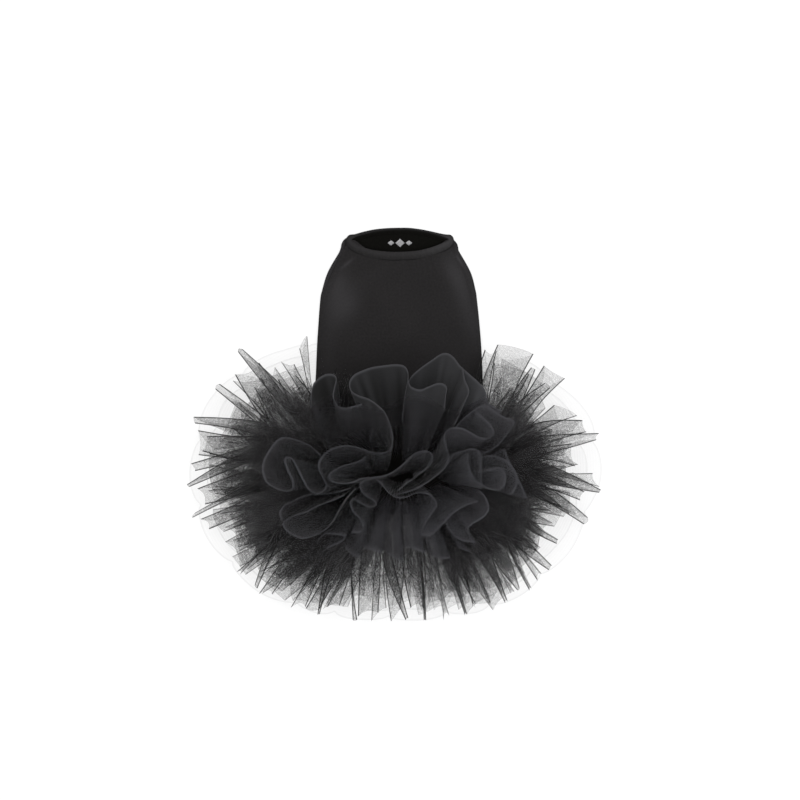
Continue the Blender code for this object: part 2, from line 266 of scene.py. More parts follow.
def stiff_net_material():
    """Open black net: see-through between its threads, denser and in painted shade along each pressed fold,
    with painted light that differs from pleat to pleat.
    """
    material, tree, shader = new_material(
        "stiff_net", Roughness=0.75, Sheen_Weight=0.10, Sheen_Roughness=0.4,
        Specular_IOR_Level=0.15)
    place, _, _ = cloth_place(tree)
    plan = add_node(tree, "ShaderNodeTexCoord").outputs["Object"]
    net = add_node(tree, "ShaderNodeGroup",
                   {"Place": place, "Plan": plan, "Gather": point_value(tree, "gather")},
                   node_tree=NET)
    crease = ramp(tree, point_value(tree, "from_fold"), 0.0006, 0.0016, 0.9, 0.0)
    crease = calc(tree, "MULTIPLY", crease, point_value(tree, "pressed"))
    edge = ramp(tree, point_value(tree, "from_edge"), 0.0002, 0.0009, 0.25, 0.0)
    alpha = calc(tree, "MAXIMUM", calc(tree, "MAXIMUM", net.outputs["Coverage"], crease), edge)
    tone = add_node(tree, "ShaderNodeTexNoise", {"Vector": place, "Scale": 35.0, "Detail": 3.0})
    colour = blend_colour(tree, ramp(tree, tone.outputs[0], 0.3, 0.7),
                          (0.008, 0.008, 0.008, 1.0), (0.018, 0.0175, 0.018, 1.0))
    # Painted light: each pleat is lighter by its own random amount, most near the root, for how it catches
    # the light.
    colour = blend_colour(tree, calc(tree, "MULTIPLY", point_value(tree, "shade"), 0.7), colour,
                          (0.052, 0.051, 0.053, 1.0))
    # Painted shade along each pressed fold.
    colour = blend_colour(tree, crease, colour, (0.004, 0.004, 0.004, 1.0))
    tree.links.new(colour, shader.inputs["Base Color"])
    tree.links.new(alpha, shader.inputs["Alpha"])
    return material


def sheer_net_material():
    """Very fine, nearly clear tulle with faint ribs and a thin visible edge."""
    material, tree, shader = new_material("stiff_net_sheer", Roughness=0.8,
                                          Specular_IOR_Level=0.2)
    shader.inputs["Base Color"].default_value = (0.02, 0.02, 0.021, 1.0)
    place, _, up = cloth_place(tree)
    rib = add_node(tree, "ShaderNodeGroup", {"Up": up, "Place": place, "Pitch": 0.0026},
                   node_tree=RIBS).outputs["Rib"]
    body = calc(tree, "MULTIPLY_ADD", rib, 0.012, 0.018)
    edge = ramp(tree, point_value(tree, "from_edge"), 0.0006, 0.0024, 0.07, 0.0)
    tree.links.new(calc(tree, "ADD", body, edge), shader.inputs["Alpha"])
    return material


def soft_tulle_material():
    """Soft doubled tulle: half see-through, with fine ribs and a denser folded edge that carries a painted
    highlight. Over the bodice it hides almost all that is under it and is darker, in painted shade; point
    values paint light and shade over the rest."""
    material, tree, shader = new_material(
        "soft_tulle", Roughness=0.6, Sheen_Weight=0.10, Sheen_Roughness=0.4,
        Specular_IOR_Level=0.12)
    place, _, up = cloth_place(tree)
    hem = ramp(tree, point_value(tree, "from_hem"), 0.0002, 0.0024, 1.0, 0.0)
    # Painted light within 40 mm of the folded edge, fading to painted shade towards the root.
    painted_light_near_hem = ramp(tree, point_value(tree, "from_hem"), 0.001, 0.040, 1.0, 0.0)
    rib = add_node(tree, "ShaderNodeGroup", {"Up": up, "Place": place, "Pitch": 0.0024},
                   node_tree=RIBS).outputs["Rib"]
    tone = add_node(tree, "ShaderNodeTexNoise", {"Vector": place, "Scale": 22.0, "Detail": 3.0})
    cloudy = ramp(tree, tone.outputs[0], 0.3, 0.7)
    body = blend_colour(tree, cloudy, (0.013, 0.013, 0.0138, 1.0), (0.022, 0.022, 0.0233, 1.0))
    body = blend_colour(tree, calc(tree, "MULTIPLY", painted_light_near_hem, 0.4), body, (0.032, 0.032, 0.035, 1.0))
    # Painted light and shade kept at each point: lighter to the right and at some places, fold streaks and
    # edge highlights, darker over the bodice.
    painted_tulle_light = point_value(tree, "painted_tulle_light")
    body = blend_colour(tree, ramp(tree, painted_tulle_light, 0.0, 1.0, 0.0, 0.75), body,
                        (0.052, 0.052, 0.057, 1.0))
    body = blend_colour(tree, ramp(tree, painted_tulle_light, 0.0, -1.0), body, (0.003, 0.003, 0.003, 1.0))
    # Painted highlight on the folded edge, dimmer over the bodice.
    rim = blend_colour(tree, point_value(tree, "dense"), (0.060, 0.060, 0.066, 1.0),
                       (0.042, 0.042, 0.046, 1.0))
    colour = blend_colour(tree, hem, body, rim)
    alpha = calc(tree, "MULTIPLY_ADD", rib, 0.10, 0.36)
    alpha = calc(tree, "MULTIPLY_ADD", hem, 0.30, alpha)
    dense = point_value(tree, "dense")
    alpha = calc(tree, "MAXIMUM", alpha, ramp(tree, dense, 0.0, 1.0, 0.3, 0.98))
    tree.links.new(colour, shader.inputs["Base Color"])
    tree.links.new(alpha, shader.inputs["Alpha"])
    bump = add_node(tree, "ShaderNodeBump", {"Strength": 0.25, "Distance": 0.0003, "Height": rib})
    tree.links.new(bump.outputs[0], shader.inputs["Normal"])
    return material


def jersey_material(name, dark, light, stitch, shine=0.12):
    """Matt black jersey with a fine knit, a soft nap and slightly uneven dye, with light and shade painted
    on from a point value.
    """
    material, tree, shader = new_material(
        name, Roughness=0.7, Sheen_Weight=0.5 * shine, Sheen_Roughness=0.5,
        Specular_IOR_Level=shine)
    place, _, _ = cloth_place(tree)
    knit = add_node(tree, "ShaderNodeGroup", {"Place": place, "Stitch": stitch}, node_tree=KNIT)
    tone = add_node(tree, "ShaderNodeTexNoise", {"Vector": place, "Scale": 14.0, "Detail": 4.0})
    share = calc(tree, "MULTIPLY_ADD", knit.outputs["Nap"], 1.3,
                 calc(tree, "MULTIPLY_ADD", tone.outputs[0], 1.0, -0.65))
    colour = blend_colour(tree, share, dark, light)
    # Painted light and shade kept at each point: lighter for painted highlights, darker for painted shade.
    painted_light_shade = point_value(tree, "painted_light_shade")
    lighter = ramp(tree, painted_light_shade, 0.0, 1.0, 0.0, 0.6)
    darker = ramp(tree, painted_light_shade, 0.0, -1.0)
    colour = blend_colour(tree, lighter, colour, (0.055, 0.053, 0.057, 1.0))
    colour = blend_colour(tree, darker, colour, (0.002, 0.002, 0.002, 1.0))
    tree.links.new(colour, shader.inputs["Base Color"])
    bump = add_node(tree, "ShaderNodeBump", {"Strength": 0.35, "Distance": 0.0002,
                                             "Height": knit.outputs["Height"]})
    tree.links.new(bump.outputs[0], shader.inputs["Normal"])
    return material


SHEER_NET = sheer_net_material()
STIFF_NET = stiff_net_material()
SOFT_TULLE = soft_tulle_material()
JERSEY = jersey_material("jersey", (0.0068, 0.0062, 0.0064, 1.0), (0.0165, 0.0150, 0.0156, 1.0),
                         0.0009)
# Painted shade: the jersey made nearly black and without shine, for cloth in shade: the back panel, the
# back binding and the heading under the ruffles.
SHADED_JERSEY = jersey_material("jersey_in_painted_shade", (0.0025, 0.0024, 0.002, 1.0), (0.005, 0.0048, 0.004, 1.0),
                         0.0009, 0.02)
BINDING = jersey_material("binding", (0.008, 0.0075, 0.0078, 1.0), (0.019, 0.0178, 0.0182, 1.0),
                          0.0008)


# ---------------------------------------------------------------- bodice

WAIST_Y = -45.0
SHOULDER_LEFT = (-53.5, 175.0)
SHOULDER_RIGHT = (61.5, 177.0)
# Sides of the panels: a row for each section (y, left x, right x). Up to the armholes both panels
# have the same sides, sewn together.
SEWN_SIDES = ((WAIST_Y, -80.5, 87.5), (25.0, -81.5, 86.5), (55.0, -80.5, 86.0), (95.0, -78.5, 83.5))
FRONT_SIDES = (*SEWN_SIDES, (125.0, -74.5, 79.5), (135.0, -71.5, 77.5), (153.0, -63.5, 72.0),
               (175.0, -53.5, 61.5))
BACK_SIDES = (*SEWN_SIDES, (125.0, -76.3, 80.5), (135.0, -74.3, 79.0), (153.0, -68.6, 74.0),
              (175.0, -56.0, 61.8))
# Necklines (x, y), from the left shoulder point to the right one.
FRONT_NECK = ((-53.5, 175.0), (-44.0, 185.0), (-30.0, 176.5), (-12.0, 172.2), (3.5, 171.5),
              (20.0, 172.2), (38.0, 176.8), (52.5, 185.5), (61.5, 177.0))
BACK_NECK = ((-53.5, 175.0), (-52.7, 180.5), (-50.5, 184.8), (-46.5, 187.8), (-39.5, 190.8),
             (-24.0, 194.9), (-10.0, 196.7), (3.5, 197.2), (16.0, 196.9), (32.0, 194.3),
             (46.0, 190.0), (54.0, 186.8), (58.0, 184.2), (60.6, 180.6), (61.5, 177.0))
# Edge of the neck opening, from its far side round the left corner, along the front and round the
# right corner to the far side again: x, y, width of the binding there.
NECK_OPENING = ((-26.0, 191.9, 2.2), (-35.0, 189.9, 2.2), (-41.0, 187.6, 3.4), (-44.4, 185.6, 5.6),
                (-43.6, 183.4, 7.6), (-39.5, 180.6, 8.2), (-33.0, 177.7, 8.4), (-23.5, 174.9, 8.6),
                (-10.0, 173.3, 8.7), (3.5, 173.0, 8.7), (18.0, 173.9, 8.7), (27.5, 175.6, 8.7),
                (37.0, 178.3, 8.6), (45.5, 181.6, 8.4), (50.2, 183.7, 7.6), (51.6, 185.6, 5.6),
                (48.5, 187.4, 3.4), (42.5, 189.6, 2.2), (33.0, 191.8, 2.2))
PANEL_COLUMNS = 150
PANEL_ROWS = 170


def even_table(table, key, values, column):
    """Smooth reading of one column of a table by its key column, with eased joins."""
    rows = np.array(table)
    fine = smooth_curve(rows, 12)
    return np.interp(values, fine[:, key], fine[:, column])


def panel_plan(sides, neck):
    """x and y of a panel from the waist seam (row 0) to the neckline, fanned between its sides.

    y is the height at the side plus the neckline's rise over the shoulders times the square of the
    share of the height. x runs straight from the left side to the right one at that y."""
    across = np.linspace(0.0, 1.0, PANEL_COLUMNS)[None, :]
    along = np.linspace(0.0, 1.0, PANEL_ROWS)[:, None]
    left_y = WAIST_Y + (SHOULDER_LEFT[1] - WAIST_Y) * along
    right_y = WAIST_Y + (SHOULDER_RIGHT[1] - WAIST_Y) * along
    side_y = left_y * (1.0 - across) + right_y * across
    top_x = SHOULDER_LEFT[0] * (1.0 - across) + SHOULDER_RIGHT[0] * across
    shoulder_y = SHOULDER_LEFT[1] * (1.0 - across) + SHOULDER_RIGHT[1] * across
    line = smooth_curve(neck, 10)
    rise = np.interp(top_x, line[:, 0], line[:, 1]) - shoulder_y
    y = side_y + rise * along ** 2
    x = (even_table(sides, 0, np.minimum(y, SHOULDER_LEFT[1]), 1) * (1.0 - across)
         + even_table(sides, 0, np.minimum(y, SHOULDER_RIGHT[1]), 2) * across)
    return x, y, across


# Soft creases on the front panel: x, y, direction in degrees, length, width, height.
FRONT_CREASES = (
    (-37.0, 160.0, 60.0, 9.0, 1.7, 0.6), (-29.0, 158.5, 68.0, 8.0, 1.6, 0.6),
    (-20.0, 158.0, 76.0, 7.0, 1.5, 0.5), (-11.0, 157.5, 84.0, 8.0, 1.5, 0.5),
    (-4.0, 157.5, 88.0, 6.0, 1.3, 0.5), (7.0, 157.0, 92.0, 9.0, 1.5, 0.6),
    (16.0, 158.0, 96.0, 6.0, 1.4, 0.5), (27.0, 158.5, 100.0, 9.0, 1.6, 0.8),
    (32.0, 159.0, 103.0, 10.0, 1.6, 0.8), (38.0, 160.0, 108.0, 9.0, 1.7, 0.6),
    (46.0, 163.0, 118.0, 9.0, 1.8, 0.6),
    (-34.0, 150.0, 62.0, 26.0, 7.0, 0.8),
    (-22.0, 152.0, 75.0, 18.0, 5.0, 0.5),
    (-46.0, 146.0, 55.0, 30.0, 8.0, 0.9),
    (40.0, 152.0, 115.0, 24.0, 7.0, 0.8),
    (54.0, 148.0, 125.0, 28.0, 8.0, 0.9),
    (24.0, 154.0, 100.0, 16.0, 5.0, 0.5),
    (4.0, 153.0, 88.0, 16.0, 6.0, 0.4),
    (-52.0, 112.0, 80.0, 44.0, 16.0, 1.3),
    (46.0, 96.0, 98.0, 52.0, 18.0, 1.1),
    (10.0, 84.0, 20.0, 60.0, 20.0, 0.7),
    (-30.0, 62.0, 150.0, 46.0, 14.0, 0.7),
    (60.0, 60.0, 75.0, 40.0, 12.0, 0.8),
)
# Painted highlights on the jersey: x, y, direction, length, width, strength.
JERSEY_PAINTED_HIGHLIGHTS = (
    (-51.0, 121.0, 70.0, 24.0, 17.0, 0.48),
    (-58.0, 144.0, 65.0, 20.0, 9.0, 0.26),
    (67.0, 130.0, 106.0, 52.0, 12.0, 0.34),
    (54.0, 154.0, 125.0, 18.0, 9.0, 0.16),
    (-20.0, 152.0, 20.0, 26.0, 8.0, 0.12),
    (62.5, 165.0, 120.0, 7.0, 1.2, 0.5),
    (-48.5, 162.0, 38.0, 9.0, 1.8, 0.4),
    (-68.0, 75.0, 88.0, 60.0, 12.0, 0.20),
)


def creases(x, y, table):
    """Sum of soft ridges: each exp(-(a / length)^2 - (b / width)^2) times its height, with a and b
    the distances along and across its own direction."""
    total = np.zeros_like(x)
    for centre_x, centre_y, degrees, length, width, height in table:
        turn = math.radians(degrees)
        a = (x - centre_x) * math.cos(turn) + (y - centre_y) * math.sin(turn)
        b = (y - centre_y) * math.cos(turn) - (x - centre_x) * math.sin(turn)
        total += height * np.exp(-(a / length) ** 2 - (b / width) ** 2)
    return total


def thicken(piece, thickness):
    """Give a panel its jersey's thickness, in metres, on its inner side."""
    cloth = piece.modifiers.new("cloth", "SOLIDIFY")
    cloth.thickness = thickness
    cloth.offset = -1.0


def make_front():
    """Front panel: domed over the back one, 1.6 mm at its edges, with soft creases and a turned
    edge along each armhole."""
    x, y, across = panel_plan(FRONT_SIDES, FRONT_NECK)
    dome = np.sin(PI * across) ** 0.8
    height = 1.7 + 4.0 * dome + creases(x, y, FRONT_CREASES) * dome
    armhole = np.clip((y - 112.0) / 12.0, 0.0, 1.0)
    edge = np.minimum(across, 1.0 - across) * (x[:, -1:] - x[:, :1])
    height += armhole * 1.0 * np.exp(-((edge - 3.0) / 1.8) ** 2)
    height -= 0.35 * armhole * np.exp(-((edge - 6.2) / 0.7) ** 2)
    grid = np.dstack((x, y, height))
    # Painted light: soft highlights at listed places, and lighter towards the right edge.
    painted_light_shade = creases(x, y, JERSEY_PAINTED_HIGHLIGHTS) + 0.10 * across ** 3
    piece = make_piece("bodice_front_cloth", grid, np.dstack((x, y)), JERSEY, {"painted_light_shade": painted_light_shade})
    thicken(piece, 0.0009)
    return piece


def make_back():
    """Back panel: flat on the surface, in the nearly black jersey of painted shade. Its inner face shows in
    the neck opening, and its sides, painted lighter, show past the armholes."""
    x, y, across = panel_plan(BACK_SIDES, BACK_NECK)
    grid = np.dstack((x, y, np.full_like(x, 1.1)))
    side = np.minimum(across, 1.0 - across) * (x[:, -1:] - x[:, :1])
    # Painted light on the sides, where they show past the armholes.
    painted_light_shade = 0.65 * np.exp(-(side / 7.0) ** 4) * np.clip((190.0 - y) / 4.0, 0.0, 1.0)
    piece = make_piece("bodice_back_cloth", grid, np.dstack((x, y)), SHADED_JERSEY,
                       {"painted_light_shade": painted_light_shade})
    thicken(piece, 0.001)
    return piece


def neck_line(table, per_row):
    """Points along a neck edge, with the unit vector pointing away from the opening, the width of
    the strip there and the running length."""
    fine = smooth_curve(table, per_row)
    run = running_length(fine[:, :2])
    even = np.linspace(0.0, run[-1], len(fine))
    fine = np.column_stack([np.interp(even, run, fine[:, i]) for i in range(3)])
    tangent = np.gradient(fine[:, :2], axis=0)
    tangent /= np.linalg.norm(tangent, axis=1, keepdims=True)
    return fine, np.column_stack((tangent[:, 1], -tangent[:, 0])), even


def make_binding(name, table, base, thick, wrinkle, seed, material, tone):
    """Folded strip along a neck edge. Across it the height is thick (1 - |2w - 1|^3), with w from 0
    at the edge to 1 at the seam, and its stitches pull it into small wrinkles. A row of stitches
    runs 1.6 mm above the seam."""
    fine, away, run = neck_line(table, 16)
    count = len(fine)
    chance = np.random.default_rng(seed)
    share = np.linspace(0.0, 1.0, 26)[:, None]
    depth = share * fine[None, :, 2]
    x = fine[None, :, 0] + depth * away[None, :, 0]
    y = fine[None, :, 1] + depth * away[None, :, 1]
    ripple = soft_noise(count, 46, chance)[None] * np.sin(PI * share)
    height = base(x, y) + thick * (1.0 - np.abs(2.0 * share - 1.0) ** 3) + wrinkle * ripple
    stitch = np.exp(-((fine[None, :, 2] - depth - 1.6) / 0.3) ** 2)
    height = height - 0.3 * stitch * (0.6 + 0.4 * np.cos(run / 2.4 * 2.0 * PI))[None]
    grid = np.dstack((x, y, height))
    cloth = np.dstack((np.broadcast_to(run, x.shape), depth))
    # tone gives painted light and shade for each point.
    return make_piece(name, grid, cloth, material, {"painted_light_shade": tone(share, depth, fine)})


def front_level(x, y):
    """Height of the cloth under the binding: the front panel's face, falling to the back panel's
    where the strip turns on to the far side."""
    share = np.clip((x - SHOULDER_LEFT[0]) / (SHOULDER_RIGHT[0] - SHOULDER_LEFT[0]), 0.0, 1.0)
    level = 1.9 + 4.0 * np.sin(PI * share) ** 0.8
    far = np.clip((y - 183.0) / 5.0, 0.0, 1.0)
    return level * (1.0 - far) + 1.2 * far


def front_band_painted_light(share, depth, fine):
    """Painted light and shade: a little lighter along the middle of the strip and to the right, with
    painted shade in the seam groove.
    """
    light = 0.02 + 0.24 * np.exp(-((share - 0.3) / 0.3) ** 2)
    light = light + 0.30 * np.exp(-((fine[None, :, 0] - 50.0) / 22.0) ** 2)
    groove = np.exp(-((fine[None, :, 2] - depth) / 0.9) ** 2)
    return light * (1.0 - groove) - 0.9 * groove


def rear_band_painted_light(share, depth, fine):
    """Painted highlight on the rim; inside the neck the strip keeps the painted shade of its cloth."""
    return 0.55 * np.exp(-(depth / 2.0) ** 2)


# ---------------------------------------------------------------- net tiers

HEADING_CENTRE = np.array((3.5, -45.0))
HEADING_SIZE = np.array((92.0, 44.0))
# The net's seam, a flat ring under the heading.
SEAM_SIZE = np.array((72.0, 30.0))
FOOT_BEARING = 270.0
# How far the widest tier reaches from the middle of the waist seam (bearing, reach).
FAN_REACH = (
    (121.5, 150.0), (126.0, 158.0), (132.0, 163.0), (138.0, 172.0), (144.0, 182.0),
    (150.0, 190.0), (157.0, 197.0), (165.0, 203.0), (174.0, 206.0), (184.0, 206.0),
    (193.0, 204.0), (207.0, 196.0), (221.0, 184.0), (236.0, 168.0), (251.0, 156.0),
    (270.0, 151.0), (289.0, 155.0), (305.0, 168.0), (321.0, 181.0), (335.0, 191.0),
    (349.0, 200.0), (358.5, 204.0), (370.0, 204.0), (379.0, 196.0), (389.0, 186.0),
    (396.0, 176.0), (402.0, 166.0), (411.5, 148.0),
)
# How much shorter the filling pleats are near the ends of the fan and at its foot.
FILL_SHARE = ((120.0, 0.84), (150.0, 0.90), (172.0, 0.94), (190.0, 1.0), (230.0, 1.0), (270.0, 0.97),
              (310.0, 1.0), (330.0, 0.95), (355.0, 0.93), (385.0, 0.88), (412.0, 0.85))


def fan_outline(bearing):
    """Reach of the widest tier at each bearing, eased between the table's rows."""
    fine = smooth_curve(FAN_REACH, 8)
    return np.interp(bearing, fine[:, 0], fine[:, 1])


def root_point(bearing):
    """Place on the waist seam where a pleat of this bearing starts."""
    turn = math.radians(172.0 + 196.0 * (bearing - 121.5) / 290.0)
    return (HEADING_CENTRE[0] + SEAM_SIZE[0] * math.cos(turn),
            HEADING_CENTRE[1] + SEAM_SIZE[1] * math.sin(turn))


def near_foot(bearing):
    """How near a bearing is to the foot of the fan: 1 there, and exp(-(degrees away / 38)^2) off it."""
    return math.exp(-((bearing - FOOT_BEARING) / 38.0) ** 2)


# Pleats that stand out: strip, first corner x, y, second corner x, y, base x, y and width, and how
# dense the cloth is. Corners go round the fan, from the upper left past the foot to the upper right.
PLEATS = (
    (1, -89, 88, -97, 76, -80, -28, 8, 0.7),
    (2, -102, 61, -115, 63, -62, -20, 12, 0.7),
    (4, -100, 50, -118, 45, -64, -25, 16, 1.0),
    (5, -121, 38, -142, 38, -96, -34, 14, 1.1),
    (1, -137, 62, -161, 50, -88, -28, 20, 0.6),
    (3, -134, 47, -163, 44, -92, -30, 18, 0.9),
    (7, -152.5, 75.5, -157, 72.5, -60, -28, 9, 2.6),
    (2, -176, 41, -181, 36, -98, -25, 12, 0.9),
    (4, -156, 23, -167, 25, -94, -27, 10, 1.3),
    (6, -201.5, 8.4, -200, 1.7, -88, -20, 22, 1.5),
    (1, -199, -5, -197.5, -30, -88, -30, 18, 0.7),
    (2, -189, -11, -194, -26, -86, -28, 16, 1.0),
    (3, -204, -38, -201.5, -46, -86, -12, 16, 1.1),
    (5, -207.5, -58.5, -206, -61.5, -90, -10, 14, 1.8),
    (4, -198, -63, -190.5, -79, -86, -35, 18, 1.1),
    (5, -200, -87, -201.5, -91.5, -84, -35, 10, 1.6),
    (1, -196, -94, -187, -104, -84, -40, 12, 0.8),
    (5, -159, -146, -156, -149, -70, -66, 14, 1.8),
    (6, -141, -159, -138, -162, -88, -62, 8, 2.0),
    (1, -137, -168, -124, -169, -60, -72, 12, 0.7),
    (4, -123.5, -169, -105.5, -160, -58, -72, 10, 1.5),
    (2, -105.5, -182, -90.5, -181, -48, -76, 12, 0.9),
    (3, -90.5, -182.5, -77, -183.6, -40, -78, 16, 1.2),
    (6, -78.5, -188, -76, -187, -45, -80, 6, 2.2),
    (1, -69, -181, -56.5, -180, -30, -80, 12, 0.7),
    (4, -43.5, -194, -39, -193, -42, -80, 8, 1.6),
    (3, -38.5, -191, -18, -187, -22, -80, 14, 1.2),
    (1, -25, -195, -10, -183, -8, -82, 12, 0.8),
    (5, -5.5, -196, 3.5, -183, 0, -82, 8, 1.2),
    (7, 9, -193, 12, -192, -18, -84, 4, 2.4),
    (2, 14, -182, 27, -183, 14, -82, 14, 0.9),
    (6, 27, -193, 29.5, -194, 8, -84, 5, 2.2),
    (3, 28, -189, 38, -166, 22, -82, 10, 1.1),
    (5, 46.5, -193, 52.5, -189, 30, -82, 10, 1.5),
    (6, 68, -189, 70.5, -188.5, 42, -82, 6, 2.2),
    (4, 76, -182, 78.5, -182, 48, -80, 8, 1.8),
    (1, 78, -178, 94, -177, 46, -78, 16, 0.8),
    (5, 108, -177, 110.5, -175, 70, -92, 24, 1.5),
    (4, 120, -164, 122.5, -162, 74, -80, 14, 1.7),
    (6, 132, -164, 134, -162, 98, -70, 4, 2.4),
    (2, 140.5, -155, 145, -149, 90, -65, 8, 1.0),
    (4, 151, -144, 155, -140, 85, -72, 12, 1.4),
    (3, 159, -118, 161, -114, 95, -62, 14, 1.5),
    (2, 186.5, -99, 190, -91.5, 110, -52, 14, 0.9),
    (6, 172, -89, 174.5, -86, 120, -50, 4, 2.2),
    (3, 183, -75, 187, -66, 108, -42, 20, 1.2),
    (7, 201, -67, 203, -64, 108, -35, 18, 2.2),
    (1, 203, -62, 196, -48, 105, -38, 14, 0.8),
    (4, 178, -41, 174, -18, 105, -32, 16, 1.1),
    (2, 199, -15, 201.5, -8, 105, -25, 20, 0.9),
    (6, 188, -7, 184.5, 5, 110, -20, 22, 1.3),
    (1, 180, 9, 157, 20, 104, -25, 16, 0.8),
    (3, 167.5, 46, 146.5, 59, 108, -22, 22, 1.0),
    (5, 152, 36, 147, 42, 100, -20, 14, 1.2),
    (5, 138, 55, 134, 58, 100, -18, 6, 1.6),
    (3, 136.5, 70.7, 100.5, 80, 92, -15, 36, 0.8),
    (4, 132, 50, 97, 62, 90, -15, 32, 0.8),
    (1, 100, 74, 88, 75, 80, -12, 14, 0.6),
)
# How much denser the cloth is at its root than at its edge, by bearing.
ROOT_GAIN = ((121.0, 1.5), (140.0, 0.3), (160.0, 0.8), (172.0, 3.0), (190.0, 4.6), (215.0, 3.4),
             (235.0, 1.0), (258.0, 0.05), (292.0, 0.05), (308.0, 2.2), (330.0, 2.6), (350.0, 4.4),
             (372.0, 2.6), (390.0, 1.1), (411.0, 1.9))
# Net strips, lowest first: name, node, filling pleats' least and most reach, height of root and
# edge, arch, seed.
NET_STRIPS = (
    ("net_strip_1", "net_tier_1", 0.86, 0.98, 6.0, 8.0, 3.0, 17),
    ("net_strip_2", "net_tier_2", 0.84, 0.98, 9.0, 14.0, 4.0, 29),
    ("net_strip_3", "net_tier_2", 0.80, 0.97, 12.0, 19.0, 5.0, 31),
    ("net_strip_4", "net_tier_3", 0.76, 0.95, 16.0, 25.0, 6.0, 43),
    ("net_strip_5", "net_tier_3", 0.72, 0.92, 20.0, 31.0, 6.0, 47),
    ("net_strip_6", "net_tier_4", 0.68, 0.89, 24.0, 36.0, 7.0, 59),
    ("net_strip_7", "net_tier_4", 0.60, 0.84, 28.0, 41.0, 7.0, 61),
)
STRIP_ROWS = 18
STRIP_STEPS = 7
UNPRESSED_AWAY = 9.0
# No cloth of the skirt lies lower than this over the surface.
LEAST_HEIGHT = 0.5


def bearing_of(x, y):
    """Bearing round the waist seam's middle, from 100 to 460 degrees."""
    return (math.degrees(math.atan2(y - HEADING_CENTRE[1], x)) - 100.0) % 360.0 + 100.0


def fill_pleat(bearing, least, most, chance):
    """A pleat like the table's at this bearing: narrow at the foot of the fan, wider at its sides."""
    foot = near_foot(bearing)
    width = chance.uniform(17.0, 38.0) * (1.0 - 0.3 * foot)
    share = np.interp(bearing, *np.array(FILL_SHARE).T)
    reach = fan_outline(bearing) * share * chance.uniform(least, most)
    half = math.degrees(width / reach) / 2.0
    corners = []
    for side in (-1.0, 1.0):
        turn = math.radians(bearing + side * half)
        out = reach * (1.0 + chance.uniform(-0.07, 0.03))
        corners += [out * math.cos(turn), HEADING_CENTRE[1] + out * math.sin(turn)]
    base = root_point(bearing + chance.uniform(-14.0, 14.0))
    density = chance.uniform(0.7, 1.4) * (1.0 - 0.6 * foot)
    return (*corners, *base, width * chance.uniform(0.6, 1.0), density), width


def pleats_of_strip(number, least, most, chance):
    """The table's pleats of a strip, with filling pleats between them, in order round the fan."""
    own = [(bearing_of((row[1] + row[3]) / 2.0, (row[2] + row[4]) / 2.0), (*row[1:], 1.0))
           for row in PLEATS if row[0] == number]
    taken = [bearing for bearing, _ in own]
    bearing = FAN_REACH[0][0] + 3.0
    while bearing < FAN_REACH[-1][0] - 3.0:
        row, width = fill_pleat(bearing, least, most, chance)
        wide = math.degrees(width / fan_outline(bearing))
        if all(abs(bearing - other) > 0.5 * wide + 3.0 for other in taken):
            own.append((bearing, (*row, 0.55 - 0.4 * near_foot(bearing))))
        bearing += wide * chance.uniform(0.7, 1.25)
    return [row for _, row in sorted(own, key=lambda entry: entry[0])]


def pleat_lines(pleats, chance):
    """The pressed lines of a strip, four to a pleat: under it, its first corner, its second corner,
    and under it again. The lines under it are shorter, so that the cloth dips between two pleats.
    It gives their roots, their tips and their named values."""
    roots, tips = [], []
    values = {"lift": [], "gather": [], "gain": [], "pressed": [], "shade": []}
    for x1, y1, x2, y2, base_x, base_y, base_wide, density, crease in pleats:
        first, second = np.array((x1, y1)), np.array((x2, y2))
        base = np.array((base_x, base_y))
        middle = (first + second) / 2.0
        bearing = bearing_of(*middle)
        axis = (middle - base) / np.linalg.norm(middle - base)
        side = np.array((-axis[1], axis[0])) * base_wide / 2.0
        short = chance.uniform(0.62, 0.92, 2)
        inward = chance.uniform(0.2, 0.9, 2)
        first_under = base + (first + (second - first) * inward[0] - base) * short[0]
        second_under = base + (second + (first - second) * inward[1] - base) * short[1]
        roots += [base - side * 0.3, base - side, base + side, base + side * 0.3]
        tips += [first_under, first, second, second_under]
        values["lift"] += [-1.5, chance.uniform(0.0, 2.5), chance.uniform(0.0, 2.5), -1.5]
        thin = 0.9 - 0.6 * near_foot(bearing)
        values["gather"] += [thin, density, density, thin]
        values["gain"] += [np.interp(bearing, *np.array(ROOT_GAIN).T)] * 4
        values["pressed"] += [0.0, crease, crease, 0.0]
        # Each pleat's painted light, a random amount.
        shade = chance.uniform(0.0, 1.0)
        values["shade"] += [0.5 * shade, shade, shade + 0.15, 0.6 * shade]
    return np.array(roots), np.array(tips), values


def pressed_folds(grid, share, index, pressed):
    """Distance from the nearest pressed line at each point, and how sharply that line is pressed.
    A line that isn't pressed counts as UNPRESSED_AWAY further off."""
    pressed = np.array(pressed)
    step = np.linalg.norm(grid[:, (index + 1) * STRIP_STEPS] - grid[:, index * STRIP_STEPS], axis=2)
    from_first = share[None] * step + UNPRESSED_AWAY * (pressed[index] == 0.0)[None]
    from_second = (1.0 - share[None]) * step + UNPRESSED_AWAY * (pressed[index + 1] == 0.0)[None]
    return np.minimum(from_first, from_second), np.maximum(pressed[index], pressed[index + 1])[None]


def strip_length(root, tip, depth):
    """Length of a strip along its gathers, taken where both neighbours still have cloth."""
    thread = (tip - root) / depth[:, None]
    common = 0.8 * np.minimum(depth[1:], depth[:-1])[:, None]
    step = (root[1:] + common * thread[1:]) - (root[:-1] + common * thread[:-1])
    return np.sum(np.linalg.norm(step, axis=1))


